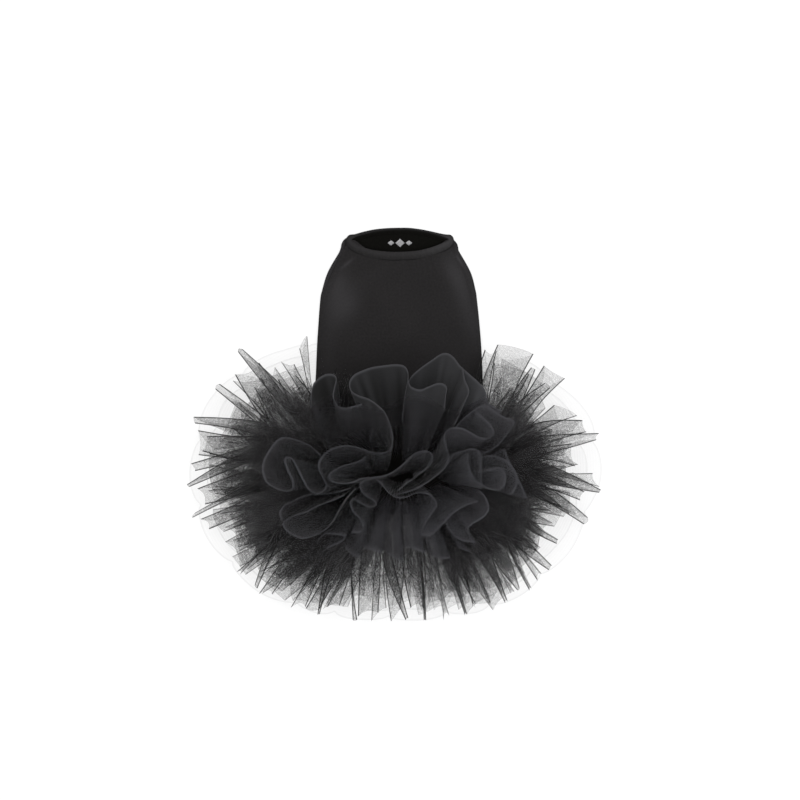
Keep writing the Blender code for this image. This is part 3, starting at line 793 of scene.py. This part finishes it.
def make_net_strip(number, name, least, most, root_z, edge_z, arch, seed):
    """One gathered net strip, laid in flat pleats round the heading.

    Between two pressed lines the cloth is nearly flat: it bulges by a sine, and each line bends
    sideways by a sine. Heights go from root_z to edge_z as t^1.2, arched by arch sin(pi t). Near
    the seam, the lines rise and fall by turns, by 4 mm (1 - t)^2."""
    chance = np.random.default_rng(seed)
    roots, tips, values = pleat_lines(pleats_of_strip(number, least, most, chance), chance)
    lines = len(roots)
    place = np.linspace(0.0, lines - 1.0, (lines - 1) * STRIP_STEPS + 1)
    index = np.minimum(place.astype(int), lines - 2)
    share = (place - index)[:, None]
    root = roots[index] * (1.0 - share) + roots[index + 1] * share
    tip = tips[index] * (1.0 - share) + tips[index + 1] * share
    share = share[:, 0]
    line = np.arange(lines)
    lift, gather, gain, shade = (np.interp(place, line, values[key])[None]
                                 for key in ("lift", "gather", "gain", "shade"))
    bulge = np.sin(PI * share) * chance.uniform(-1.2, 1.8, lines)[index]
    bend = np.interp(place, line, chance.uniform(-7.0, 7.0, lines))
    t = np.linspace(0.0, 1.0, STRIP_ROWS)[:, None]
    hollow = chance.uniform(-0.05, 0.03, lines)[index] * 4.0 * share * (1.0 - share)
    tip = tip + (tip - root) * (hollow + 0.008 * soft_noise(len(place), 200, chance))[:, None]
    plan = root[None] * (1.0 - t[..., None]) + tip[None] * t[..., None]
    across = tip - root
    across = np.column_stack((-across[:, 1], across[:, 0]))
    across = across / np.maximum(np.linalg.norm(across, axis=1, keepdims=True), 1e-6)
    plan = plan + across[None] * (bend[None] * np.sin(PI * t))[..., None]
    z = root_z + (edge_z - root_z) * t ** 1.2 + arch * np.sin(PI * t)
    z = z + (lift + bulge[None]) * (0.4 + 0.6 * t)
    by_turns = np.where(line % 2 == 0, 1.0, -1.0)[index] * (1.0 - 2.0 * share)
    z = z + 4.0 * by_turns[None] * (1.0 - t) ** 2
    grid = np.dstack((plan, np.maximum(z, LEAST_HEIGHT)))
    depth = np.linalg.norm(tip - root, axis=1)
    from_fold, pressed = pressed_folds(grid, share, index, values["pressed"])
    extra = {"from_fold": from_fold * MM,
             "from_edge": (1.0 - t) * depth[None] * MM,
             "pressed": pressed * np.clip((t - 0.2) / 0.3, 0.3, 1.0),
             "shade": shade * (0.35 + 0.65 * np.sqrt(1.0 - t)),
             "gather": gather * (1.0 + gain * (1.0 - t) ** 1.2)}
    slant = seed * 0.7
    cloth = np.dstack((plan[..., 0] * math.cos(slant) - plan[..., 1] * math.sin(slant),
                       plan[..., 0] * math.sin(slant) + plan[..., 1] * math.cos(slant)))
    piece = make_piece(name, grid, cloth + 9.0 * seed, STIFF_NET, extra)
    return piece, strip_length(root, tip, depth), float(np.mean(depth))


def make_sheer_strip(name, reach_share, height, seed):
    """A low strip of sheer tulle, spread flat to a share of the fan's reach, with wide soft folds."""
    chance = np.random.default_rng(seed)
    columns, rows = 520, 16
    share = np.linspace(0.0, 1.0, columns)
    bearing = FAN_REACH[0][0] + (FAN_REACH[-1][0] - FAN_REACH[0][0]) * share
    lobe = np.abs(np.sin(np.radians(bearing) * 9.0 + seed + 0.8 * soft_noise(columns, 20, chance)))
    reach = fan_outline(bearing) * reach_share * (0.965 + 0.04 * np.sqrt(lobe))
    root = np.array([root_point(value) for value in bearing])
    turned = np.radians(bearing)
    tip = np.column_stack((reach * np.cos(turned), HEADING_CENTRE[1] + reach * np.sin(turned)))
    t = np.linspace(0.0, 1.0, rows)[:, None]
    plan = root[None] * (1.0 - t[..., None]) + tip[None] * t[..., None]
    wave = soft_noise(columns, 70, chance)[None]
    z = height + 2.0 - 2.2 * t + 1.2 * np.sin(PI * t) + wave * (0.4 + 0.5 * t)
    grid = np.dstack((plan, np.maximum(z, LEAST_HEIGHT)))
    run = running_length(tip)
    depth = np.linalg.norm(tip - root, axis=1)
    cloth = np.dstack((np.broadcast_to(run, z.shape), t * depth[None]))
    piece = make_piece(name, grid, cloth, SHEER_NET, {"from_edge": (1.0 - t) * depth[None] * MM})
    return piece, run[-1], float(np.mean(depth))


def make_heading_cover():
    """Gathered cloth over the heading: a flattened dome, fluted by 110 uneven gathers."""
    chance = np.random.default_rng(7)
    columns = 660
    turn = np.linspace(0.0, 2.0 * PI, columns)
    share = np.sin(np.linspace(PI / 2.0, 0.0005, 40))[:, None]
    flute = np.sin(110.0 * turn + 2.0 * soft_noise(columns, 60, chance))[None]
    reach = share * (1.0 + 0.015 * flute)
    z = 26.0 + 22.0 * np.sqrt(1.0 - share ** 2) + 0.8 * flute * share
    x = HEADING_CENTRE[0] + HEADING_SIZE[0] * reach * np.cos(turn)[None]
    y = HEADING_CENTRE[1] + HEADING_SIZE[1] * reach * np.sin(turn)[None]
    side_z = np.linspace(6.0, 25.0, 6)[:, None] + 0.0 * turn[None]
    side_x = np.broadcast_to(x[0], side_z.shape)
    side_y = np.broadcast_to(y[0], side_z.shape)
    grid = np.vstack((np.dstack((side_x, side_y, side_z)), np.dstack((x, y, z))))
    cloth = np.dstack((np.broadcast_to(turn * 200.0, grid.shape[:2]),
                       np.broadcast_to(np.linspace(0.0, 90.0, len(grid))[:, None], grid.shape[:2])))
    # The heading is in the nearly black jersey of painted shade.
    return make_piece("gathered_heading", grid, cloth, SHADED_JERSEY)


# ---------------------------------------------------------------- soft ruffles

# A row for each turn of a ruffle's folded edge: x, y, z of the edge, and where its root lies along
# the waist seam.
RUFFLE_TABLES = {
    "ruffle_small_left_petal": (
        "ruffle_outer",
        ((-85, 18, 46, -62), (-84, 34, 48, -60), (-80.5, 43, 50, -58), (-70.5, 50, 52, -55),
         (-62.5, 50, 54, -52), (-59.5, 46, 57, -50), (-61.5, 37, 61, -48), (-62.5, 28, 65, -46),
         (-58.5, 20, 69, -43), (-51.5, 17, 71, -40), (-41.5, 19, 72, -36), (-30.5, 22, 72, -32),
         (-23.5, 22, 72, -28), (-20.5, 16, 70, -26), (-22.5, 0, 66, -25), (-26.5, -15, 62, -25))),
    "ruffle_big_petal_and_left_loops": (
        "ruffle_middle",
        ((5.5, 5, 66, 9), (8.5, 30, 64, 8), (11.5, 47, 62, 7), (10.5, 55, 60, 6), (6.5, 59, 59, 5),
         (-1.5, 60, 58, 3), (-11.5, 59, 58, -1), (-24.5, 57, 59, -5), (-35.5, 53, 60, -9),
         (-42.5, 49, 62, -12), (-46.5, 42, 66, -14), (-44.5, 34, 70, -15), (-36.5, 29, 74, -15),
         (-27.5, 26, 78, -14), (-18.5, 20, 82, -13), (-10.5, 11, 86, -12), (-5.5, -2, 90, -12),
         (-3.5, -15, 93, -13), (-7.5, -25, 94, -15), (-20.5, -27, 92, -20), (-33.5, -23, 91, -24),
         (-46.5, -20, 90, -28), (-58.5, -21, 88, -32), (-68.5, -26, 86, -36),
         (-75.5, -34, 84, -40), (-76.5, -42, 83, -43), (-72.5, -51, 83, -46),
         (-69.5, -59, 83, -48), (-72.5, -65, 82, -50), (-78.5, -67, 80, -52),
         (-85.5, -64, 78, -54), (-91.5, -55, 76, -55), (-97.5, -43, 74, -56),
         (-102.5, -34, 73, -57), (-107.5, -31, 72, -58), (-110.5, -35, 72, -59),
         (-107.5, -44, 72, -60), (-102.5, -55, 71, -61), (-103.5, -63, 69, -62),
         (-110.5, -65, 67, -63), (-121.5, -61, 64, -64), (-129.5, -55, 62, -65),
         (-132.5, -44, 60, -66), (-130.5, -33, 59, -67), (-123.5, -21, 58, -67),
         (-115.5, -13, 57, -67), (-109.5, -12, 57, -66), (-96.5, -15, 58, -64),
         (-84.5, -21, 60, -62), (-74.5, -30, 62, -60))),
    "ruffle_centre_ribbon": (
        "ruffle_inner",
        ((-30.5, -30, 84, -22), (-34.5, -34, 88, -24), (-42.5, -37, 90, -26),
         (-53.5, -40, 91, -28), (-62.5, -45, 92, -30), (-66.5, -50, 92, -31),
         (-62.5, -55, 93, -31), (-53.5, -57, 95, -29), (-43.5, -56, 97, -26), (-34.5, -52, 99, -22),
         (-16.5, -50, 101, -14), (-6.5, -47, 102, -9), (2.5, -41, 103, -4), (11.5, -33, 104, 1),
         (18.5, -27, 104, 5), (25.5, -25, 104, 9), (32.5, -26, 103, 12), (35.5, -31, 102, 14),
         (33.5, -38, 101, 15), (27.5, -44, 101, 15), (17.5, -51, 101, 13), (8.5, -58, 101, 10),
         (1.5, -64, 99, 8))),
    "ruffle_small_curls_and_lower_petal": (
        "ruffle_inner",
        ((-44.5, -106, 62, -30), (-36.5, -106, 64, -29), (-32.5, -101, 68, -28),
         (-35.5, -93, 74, -27), (-42.5, -85, 79, -26), (-45.5, -77, 83, -25),
         (-42.5, -72, 86, -23), (-35.5, -76, 87, -21), (-27.5, -80, 88, -18), (-20.5, -79, 90, -16),
         (-21.5, -74, 92, -15), (-28.5, -70, 93, -15), (-34.5, -64, 94, -15), (-35.5, -57, 96, -14),
         (-29.5, -53, 98, -12), (-20.5, -52, 99, -9), (-13.5, -59, 99, -7), (-6.5, -67, 98, -4),
         (1.5, -71, 97, -1), (10.5, -70, 96, 3), (20.5, -66, 95, 7), (30.5, -67, 92, 11),
         (37.5, -72, 89, 14), (39.5, -79, 85, 16), (34.5, -87, 80, 17), (28.5, -96, 75, 18),
         (24.5, -104, 70, 19), (26.5, -109, 68, 21), (33.5, -108, 67, 24), (41.5, -102, 68, 27),
         (49.5, -93, 70, 30), (59.5, -84, 72, 33), (70.5, -78, 73, 36), (80.5, -75, 72, 38))),
    "ruffle_right_ribbon": (
        "ruffle_middle",
        ((1.5, -67, 96, 12), (11.5, -65, 98, 14), (21.5, -61, 99, 17), (31.5, -55, 99, 20),
         (40.5, -48, 98, 23), (48.5, -40, 97, 25), (51.5, -32, 95, 26), (49.5, -23, 93, 26),
         (47.5, -15, 91, 26), (47.5, -8, 88, 27), (52.5, -3, 86, 29), (60.5, -2, 84, 32),
         (69.5, -5, 82, 36), (79.5, -11, 80, 40), (88.5, -13, 78, 44), (95.5, -9, 75, 46),
         (94.5, -2, 72, 46), (87.5, 6, 69, 45), (79.5, 13, 66, 44))),
    "ruffle_right_petal": (
        "ruffle_outer",
        ((55.5, -5, 74, 30), (65.5, 6, 70, 32), (76.5, 15, 66, 35), (86.5, 20, 62, 39),
         (95.5, 15, 60, 43), (106.5, 8, 58, 47), (116.5, 4, 57, 51), (112.5, -4, 60, 54),
         (104.5, -15, 63, 56), (95.5, -23, 66, 57), (85.5, -27, 68, 57))),
    "ruffle_upper_strip": (
        "ruffle_middle",
        ((11.5, 44, 72, 3), (14.5, 38, 75, 5), (23.5, 35, 77, 9), (31.5, 38, 77, 13),
         (39.5, 41, 77, 17), (45.5, 41, 77, 20), (49.5, 37, 77, 22), (48.5, 29, 76, 22),
         (47.5, 15, 74, 22))),
    "ruffle_peak": (
        "ruffle_outer",
        ((10.5, 41, 57, 6), (15.5, 49, 56, 9), (24.5, 57, 55, 13), (34.5, 64, 54, 18),
         (43.5, 70, 53, 22), (50.5, 71, 53, 25), (56.5, 67, 54, 28), (63.5, 58, 56, 32),
         (72.5, 50, 56, 36), (81.5, 42, 55, 41), (87.5, 35, 53, 45), (91, 22, 50, 50),
         (104, 14, 46, 56))),
    "ruffle_peak_inner": (
        "ruffle_outer",
        ((65.5, 57, 58, 30), (67.5, 45, 62, 31), (71.5, 34, 66, 33), (67.5, 23, 69, 33),
         (62.5, 12, 72, 32), (57.5, 1, 75, 31))),
    "ruffle_right_loop": (
        "ruffle_middle",
        ((50.5, -37, 80, 30), (52.5, -31, 81, 32), (58.5, -27, 81, 35), (66.5, -25, 81, 38),
         (74.5, -23, 80, 41), (80.5, -25, 79, 44), (83.5, -31, 78, 45), (83.5, -41, 78, 45),
         (83.5, -53, 77, 44), (83.5, -63, 75, 43))),
    "ruffle_right_curl": (
        "ruffle_middle",
        ((70.5, -27, 84, 36), (70.5, -36, 85, 36), (73.5, -46, 85, 37), (78.5, -54, 84, 38),
         (85.5, -59, 82, 40), (93.5, -63, 80, 43), (101.5, -63, 78, 46), (106.5, -58, 77, 48),
         (107.5, -50, 77, 49), (104.5, -44, 78, 49), (99.5, -41, 80, 48), (92.5, -44, 81, 46),
         (84.5, -45, 81, 44), (75.5, -45, 79, 42))),
    "ruffle_outer_right_curl": (
        "ruffle_outer",
        ((81.5, -32, 72, 50), (90.5, -30, 71, 56), (100.5, -31, 69, 62), (109.5, -36, 67, 68),
         (116.5, -44, 65, 72), (119.5, -53, 64, 74), (117.5, -62, 63, 74), (112.5, -69, 62, 72))),
    "ruffle_far_right_flap": (
        "ruffle_outer",
        ((103.5, -24, 50, 56), (107.5, -25, 51, 57), (110.5, -33, 52, 58), (116.5, -45, 53, 59),
         (123.5, -59, 53, 60), (129.5, -73, 51, 60))),
    "ruffle_lower_right_petal": (
        "ruffle_outer",
        ((81.5, -64, 71, 44), (86.5, -69, 69, 46), (90.5, -77, 67, 47), (90.5, -85, 65, 47),
         (84.5, -92, 64, 46), (75.5, -97, 63, 44), (70.5, -103, 61, 43), (73.5, -112, 57, 43),
         (77.5, -120, 53, 44))),
    "ruffle_lower_right_edge": (
        "ruffle_outer",
        ((47.5, -95, 63, 30), (52.5, -103, 61, 32), (59.5, -111, 59, 34), (68.5, -115, 57, 37),
         (78.5, -116, 55, 41))),
    "ruffle_lower_left_petal": (
        "ruffle_middle",
        ((-51.5, -69, 84, -34), (-63.5, -74, 80, -38), (-76.5, -79, 75, -43), (-90.5, -86, 70, -48),
         (-102.5, -90, 66, -52), (-111.5, -96, 63, -54), (-110.5, -102, 61, -54),
         (-103.5, -108, 60, -52), (-92.5, -112, 60, -49), (-81.5, -109, 61, -46),
         (-70.5, -103, 64, -42), (-62.5, -94, 68, -39), (-56.5, -83, 73, -36),
         (-49.5, -72, 79, -33), (-40.5, -62, 84, -30))),
    "ruffle_lower_left_fold": (
        "ruffle_outer",
        ((-44.5, -62, 76, -30), (-58.5, -66, 72, -36), (-74.5, -68, 69, -42), (-88.5, -69, 66, -48),
         (-100.5, -74, 63, -52), (-110.5, -79, 60, -56), (-115.5, -86, 58, -58),
         (-113.5, -95, 57, -58))),
    "ruffle_lower_left_edge": (
        "ruffle_outer",
        ((-95.5, -133, 38, -50), (-80.5, -130, 42, -44), (-68.5, -122, 45, -39),
         (-55.5, -116, 48, -33), (-51, -110, 52, -30), (-60.5, -108, 54, -33),
         (-71.5, -108, 52, -38), (-78.5, -115, 49, -41))),
    "ruffle_bottom_strip": (
        "ruffle_outer",
        ((-55, -116, 42, -30), (-44, -128, 48, -24), (-37, -130, 46, -20), (-37.5, -128, 38, -21),
         (-45, -120, 34, -24), (-40, -119, 36, -21), (-28, -122, 48, -14), (-16, -126, 47, -8),
         (-14, -124, 38, -7), (-22, -117, 34, -11), (-17, -118, 36, -8), (-7, -128, 48, -3),
         (4, -134, 47, 2), (6, -131, 38, 3), (-2, -124, 34, 0), (3, -122, 36, 2),
         (14, -121, 48, 7), (27, -126, 47, 12), (28, -124, 38, 13), (19, -120, 34, 9),
         (25, -120, 36, 12), (38, -130, 48, 18), (51, -132, 47, 23), (52, -128, 38, 24),
         (45, -120, 34, 21), (54, -117, 36, 24), (64, -122, 47, 29), (74, -126, 42, 33))),
}
# Painted light and shade on the ruffles: x, y, direction, length, width, strength.
RUFFLE_PAINTED_LIGHT = (
    (78.0, 32.0, 0.0, 22.0, 25.0, 0.5), (-5.0, -45.0, 0.0, 80.0, 32.0, 0.5),
    (25.0, -94.0, 0.0, 45.0, 26.0, 0.8), (78.0, -45.0, 0.0, 18.0, 18.0, 0.55),
    (-15.0, -108.0, 0.0, 60.0, 20.0, 0.5), (-72.0, 35.0, 0.0, 30.0, 30.0, -0.12),
    (-20.0, 38.0, 0.0, 24.0, 22.0, 0.04), (44.0, 52.0, 0.0, 22.0, 24.0, -0.1),
    (-112.0, -32.0, 0.0, 26.0, 30.0, -0.08),
    (-80.0, -82.0, 20.0, 30.0, 14.0, -0.42),
)
# Half the gap between a ruffle's two layers, how far apart its gathers are, and their root's height.
FOLD_GAP = 0.35
GATHER = 9.0
RUFFLE_ROOT_Z = 40.0
RUFFLE_ROWS = 26
CAP_ROWS = 5


def ruffle_painted_fold_light(hem, run, up, chance):
    """Painted light and shade: light and dark streaks along the threads, for soft folds, and a painted
    highlight where the folded edge turns tightly. Both fade to nothing at the root and at the edge."""
    painted_fold_light = soft_noise(len(run), max(4, int(run[-1] / 7.0)), chance)[None]
    heading = np.unwrap(np.arctan2(np.gradient(hem[:, 1]), np.gradient(hem[:, 0])))
    bent = np.abs(np.gradient(heading)) / np.maximum(np.gradient(run), 0.05)
    bent = np.convolve(np.clip(bent / 0.3, 0.0, 1.0), np.ones(3) / 3.0, "same")[None]
    fade = np.sin(PI * up)
    return 0.4 * painted_fold_light * fade ** 0.5 + 0.55 * (bent - 0.25) * fade ** 0.4


def ruffle_painted_light(x, y):
    """Painted light and shade on the tulle, and how dense it is: painted lighter towards the right, where
    the light comes from, painted lighter at some listed places and darker at others, and dense and in
    painted shade where it lies over the bodice, past a wavy line."""
    light_from_right = 0.005 * np.maximum(x, 0.0) + 0.0008 * np.minimum(x, 0.0)
    dense = np.clip((y - 10.0 - 7.0 * np.sin(x / 12.0)) / 18.0, 0.0, 1.0)
    dense = dense ** 2 * (3.0 - 2.0 * dense)
    return light_from_right + creases(x, y, RUFFLE_PAINTED_LIGHT) - 0.42 * dense, dense


def make_ruffle(name, table, seed):
    """Doubled strip: threads run from its root on the seam, up and out to the folded edge, and back
    down a little below. At share t the thread has gone t^1.25 of the way out and t^0.75 of the way
    up, so it springs up and then leans out. Towards the root the strip is drawn in to gathers, whose
    depth grows with sqrt(1 - drawn in^2). The edge is a half round of FOLD_GAP radius."""
    chance = np.random.default_rng(seed)
    edge = smooth_curve(table, 9)
    hem, seam_x = edge[:, :3], edge[:, 3]
    columns = len(hem)
    side = np.clip((hem[:, 1] - HEADING_CENTRE[1]) / 60.0, -1.0, 1.0)
    root = np.column_stack((seam_x + 2.0, HEADING_CENTRE[1] - 6.0 + 11.0 * side,
                            np.full(columns, RUFFLE_ROOT_Z)))
    t = np.linspace(0.0, 1.0, RUFFLE_ROWS)[:, None]
    out = t ** 1.25
    rise = t ** 0.75
    sheet = np.dstack((root[None, :, 0] * (1 - out) + hem[None, :, 0] * out,
                       root[None, :, 1] * (1 - out) + hem[None, :, 1] * out,
                       root[None, :, 2] * (1 - rise) + hem[None, :, 2] * rise))
    run = running_length(hem)
    normal = grid_normals(sheet)
    waver = soft_noise(columns, max(4, int(run[-1] / 9.0)), chance)[None] * np.sin(PI * t) * 1.6
    drawn_in = np.linalg.norm(np.gradient(sheet, axis=1), axis=2)
    drawn_in = np.minimum(drawn_in / np.maximum(drawn_in[-1:], 1e-6), 1.0)
    depth = GATHER / 10.0 * np.sqrt(1.0 - drawn_in ** 2) * (1.0 - t) ** 0.8
    gathers = depth * np.sin(2.0 * PI * run / GATHER + 1.5 * soft_noise(columns, 30, chance))[None]
    sheet = sheet + normal * (waver + gathers)[..., None]
    normal = grid_normals(sheet)
    spread = (FOLD_GAP * (1.0 + 2.5 * np.sin(PI * t)))[..., None]
    turn = np.linspace(0.0, PI, CAP_ROWS + 2)[1:-1, None, None]
    onward = sheet[-1] - sheet[-2]
    onward = onward / np.maximum(np.linalg.norm(onward, axis=1, keepdims=True), 1e-9)
    cap = (sheet[-1][None] + FOLD_GAP * (np.cos(turn) * normal[-1][None]
                                         + np.sin(turn) * onward[None]))
    grid = np.concatenate((sheet + normal * spread, cap, (sheet - normal * spread)[::-1]))
    length = np.linalg.norm(hem - root, axis=1)
    up = np.concatenate((t[:, 0], np.ones(CAP_ROWS), t[::-1, 0]))
    from_hem = (1.0 - up)[:, None] * length[None] * MM
    cloth = np.dstack((np.broadcast_to(run, from_hem.shape), up[:, None] * length[None]))
    painted_fold_light = ruffle_painted_fold_light(hem, run, up[:, None], chance)
    # Painted light from the right and at listed places, and painted shade over the bodice.
    painted_tulle_light, dense = ruffle_painted_light(grid[..., 0], grid[..., 1])
    extra = {"from_hem": from_hem, "painted_tulle_light": painted_tulle_light + painted_fold_light, "dense": dense}
    piece = make_piece(name, grid, cloth, SOFT_TULLE, extra)
    return piece, run[-1], length.mean()


# ---------------------------------------------------------------- neck print

PRINT_Y = 182.0


def make_print():
    """Three small lozenges in silver-grey print on the inside of the back, below the neckline."""
    material, tree, shader = new_material("silver_print", Roughness=0.45, Metallic=0.35)
    speck = add_node(tree, "ShaderNodeTexNoise", {"Scale": 2500.0, "Detail": 2.0})
    where = add_node(tree, "ShaderNodeTexCoord").outputs["Object"]
    tree.links.new(where, speck.inputs["Vector"])
    colour = blend_colour(tree, ramp(tree, speck.outputs[0], 0.35, 0.65),
                          (0.16, 0.16, 0.165, 1.0), (0.42, 0.42, 0.43, 1.0))
    tree.links.new(colour, shader.inputs["Base Color"])
    ring = np.linspace(0.0, 2.0 * PI, 5)
    share = np.array((0.02, 0.5, 0.93, 1.0))[:, None]
    level = np.array((0.16, 0.16, 0.14, 0.0))[:, None]
    lozenges = ((-5.5, 3.4, 2.6), (3.5, 4.6, 4.2), (12.5, 3.4, 2.6))
    for number, (centre, half_wide, half_tall) in enumerate(lozenges, 1):
        block = np.dstack((centre + half_wide * share * np.cos(ring)[None],
                           PRINT_Y + half_tall * share * np.sin(ring)[None],
                           np.broadcast_to(1.25 + level, (4, 5))))[::-1]
        piece = make_piece(f"neck_print_{number}", block, block[..., :2], material)
        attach(piece, "root")


# ---------------------------------------------------------------- assembly

def settle(piece, slot, *nodes):
    """The piece is part of the one body and stands for the nodes; the slot is not used."""
    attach(piece, "root")
    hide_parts(*nodes)


def build_dress():
    """Make every piece of the dress."""
    front = make_front()
    settle(front, "jersey", "bodice_front")
    back = make_back()
    settle(back, "jersey", "bodice_back")
    band = make_binding("neck_binding_front_cloth", NECK_OPENING, front_level, 1.5, 0.3, 3, BINDING,
                        front_band_painted_light)
    settle(band, "binding", "neck_binding_front")
    rim = [(x, y - 0.3, 6.2) for x, y in BACK_NECK[3:-3]]
    rear = make_binding("neck_binding_back_cloth", rim, lambda x, y: np.full_like(x, 1.2), 0.6,
                        0.1, 4, SHADED_JERSEY, rear_band_painted_light)
    settle(rear, "binding", "neck_binding_back")
    make_print()
    settle(make_heading_cover(), "stiff_net", "tulle_heading")
    for name, *values in (("sheer_strip_1", 1.0, 1.6, 5), ("sheer_strip_2", 0.93, 4.2, 8)):
        halo, length, depth = make_sheer_strip(name, *values)
        settle(halo, "stiff_net", "net_tier_1")
    for number, (name, node, *values) in enumerate(NET_STRIPS, 1):
        strip, length, depth = make_net_strip(number, name, *values)
        settle(strip, "stiff_net", node)
    for seed, (name, (node, table)) in enumerate(RUFFLE_TABLES.items()):
        ruffle, length, depth = make_ruffle(name, table, seed + 70)
        settle(ruffle, "soft_tulle", node)


def make_surface():
    """White surface that the dress lies on."""
    material, _, shader = new_material("white_surface", Roughness=0.9)
    shader.inputs["Base Color"].default_value = (0.30, 0.30, 0.30, 1.0)
    shader.inputs["Emission Color"].default_value = (1.0, 1.0, 1.0, 1.0)
    shader.inputs["Emission Strength"].default_value = 0.70
    mesh = bpy.data.meshes.new("surface")
    half, level = 4.0, -0.0005
    mesh.from_pydata([(-half, -half, level), (half, -half, level), (half, half, level),
                      (-half, half, level)], [], [(0, 1, 2, 3)])
    mesh.materials.append(material)
    surface = bpy.data.objects.new("surface", mesh)
    bpy.context.scene.collection.objects.link(surface)


def light_stage():
    """Soft even light all round, and two large lamps, the key from the right and low."""
    world = bpy.data.worlds.new("studio")
    bpy.context.scene.world = world
    world.use_nodes = True
    background = world.node_tree.nodes["Background"]
    background.inputs["Color"].default_value = (1.0, 1.0, 1.0, 1.0)
    background.inputs["Strength"].default_value = 0.95
    for name, place, size, power, colour in (
            ("key", (1.7, -0.2, 1.5), 1.4, 13.0, (0.94, 0.96, 1.0)),
            ("fill", (-0.9, 1.6, 1.9), 1.6, 14.0, (1.0, 0.97, 0.94))):
        lamp = bpy.data.lights.new(name, "AREA")
        lamp.size = size
        lamp.energy = power
        lamp.color = colour
        holder = bpy.data.objects.new(name, lamp)
        holder.location = place
        away = np.array(place) / np.linalg.norm(place)
        holder.rotation_euler = (math.acos(away[2]), 0.0, math.atan2(away[1], away[0]) + PI / 2.0)
        bpy.context.scene.collection.objects.link(holder)


def place_camera():
    """Camera straight above the dress, which sees a square 0.8 m wide."""
    sensor, height, seen = 36.0, 5.0, 0.8
    camera = bpy.data.cameras.new("camera")
    camera.sensor_width = sensor
    camera.lens = sensor * height / seen
    camera.clip_end = 20.0
    eye = bpy.data.objects.new("camera", camera)
    eye.location = (0.0035, 0.025, height)
    scene = bpy.context.scene
    scene.collection.objects.link(eye)
    scene.camera = eye
    scene.view_settings.view_transform = "Standard"
    scene.cycles.transparent_max_bounces = 32


build_dress()
make_surface()
light_stage()
place_camera()
bpy.context.view_layer.update()
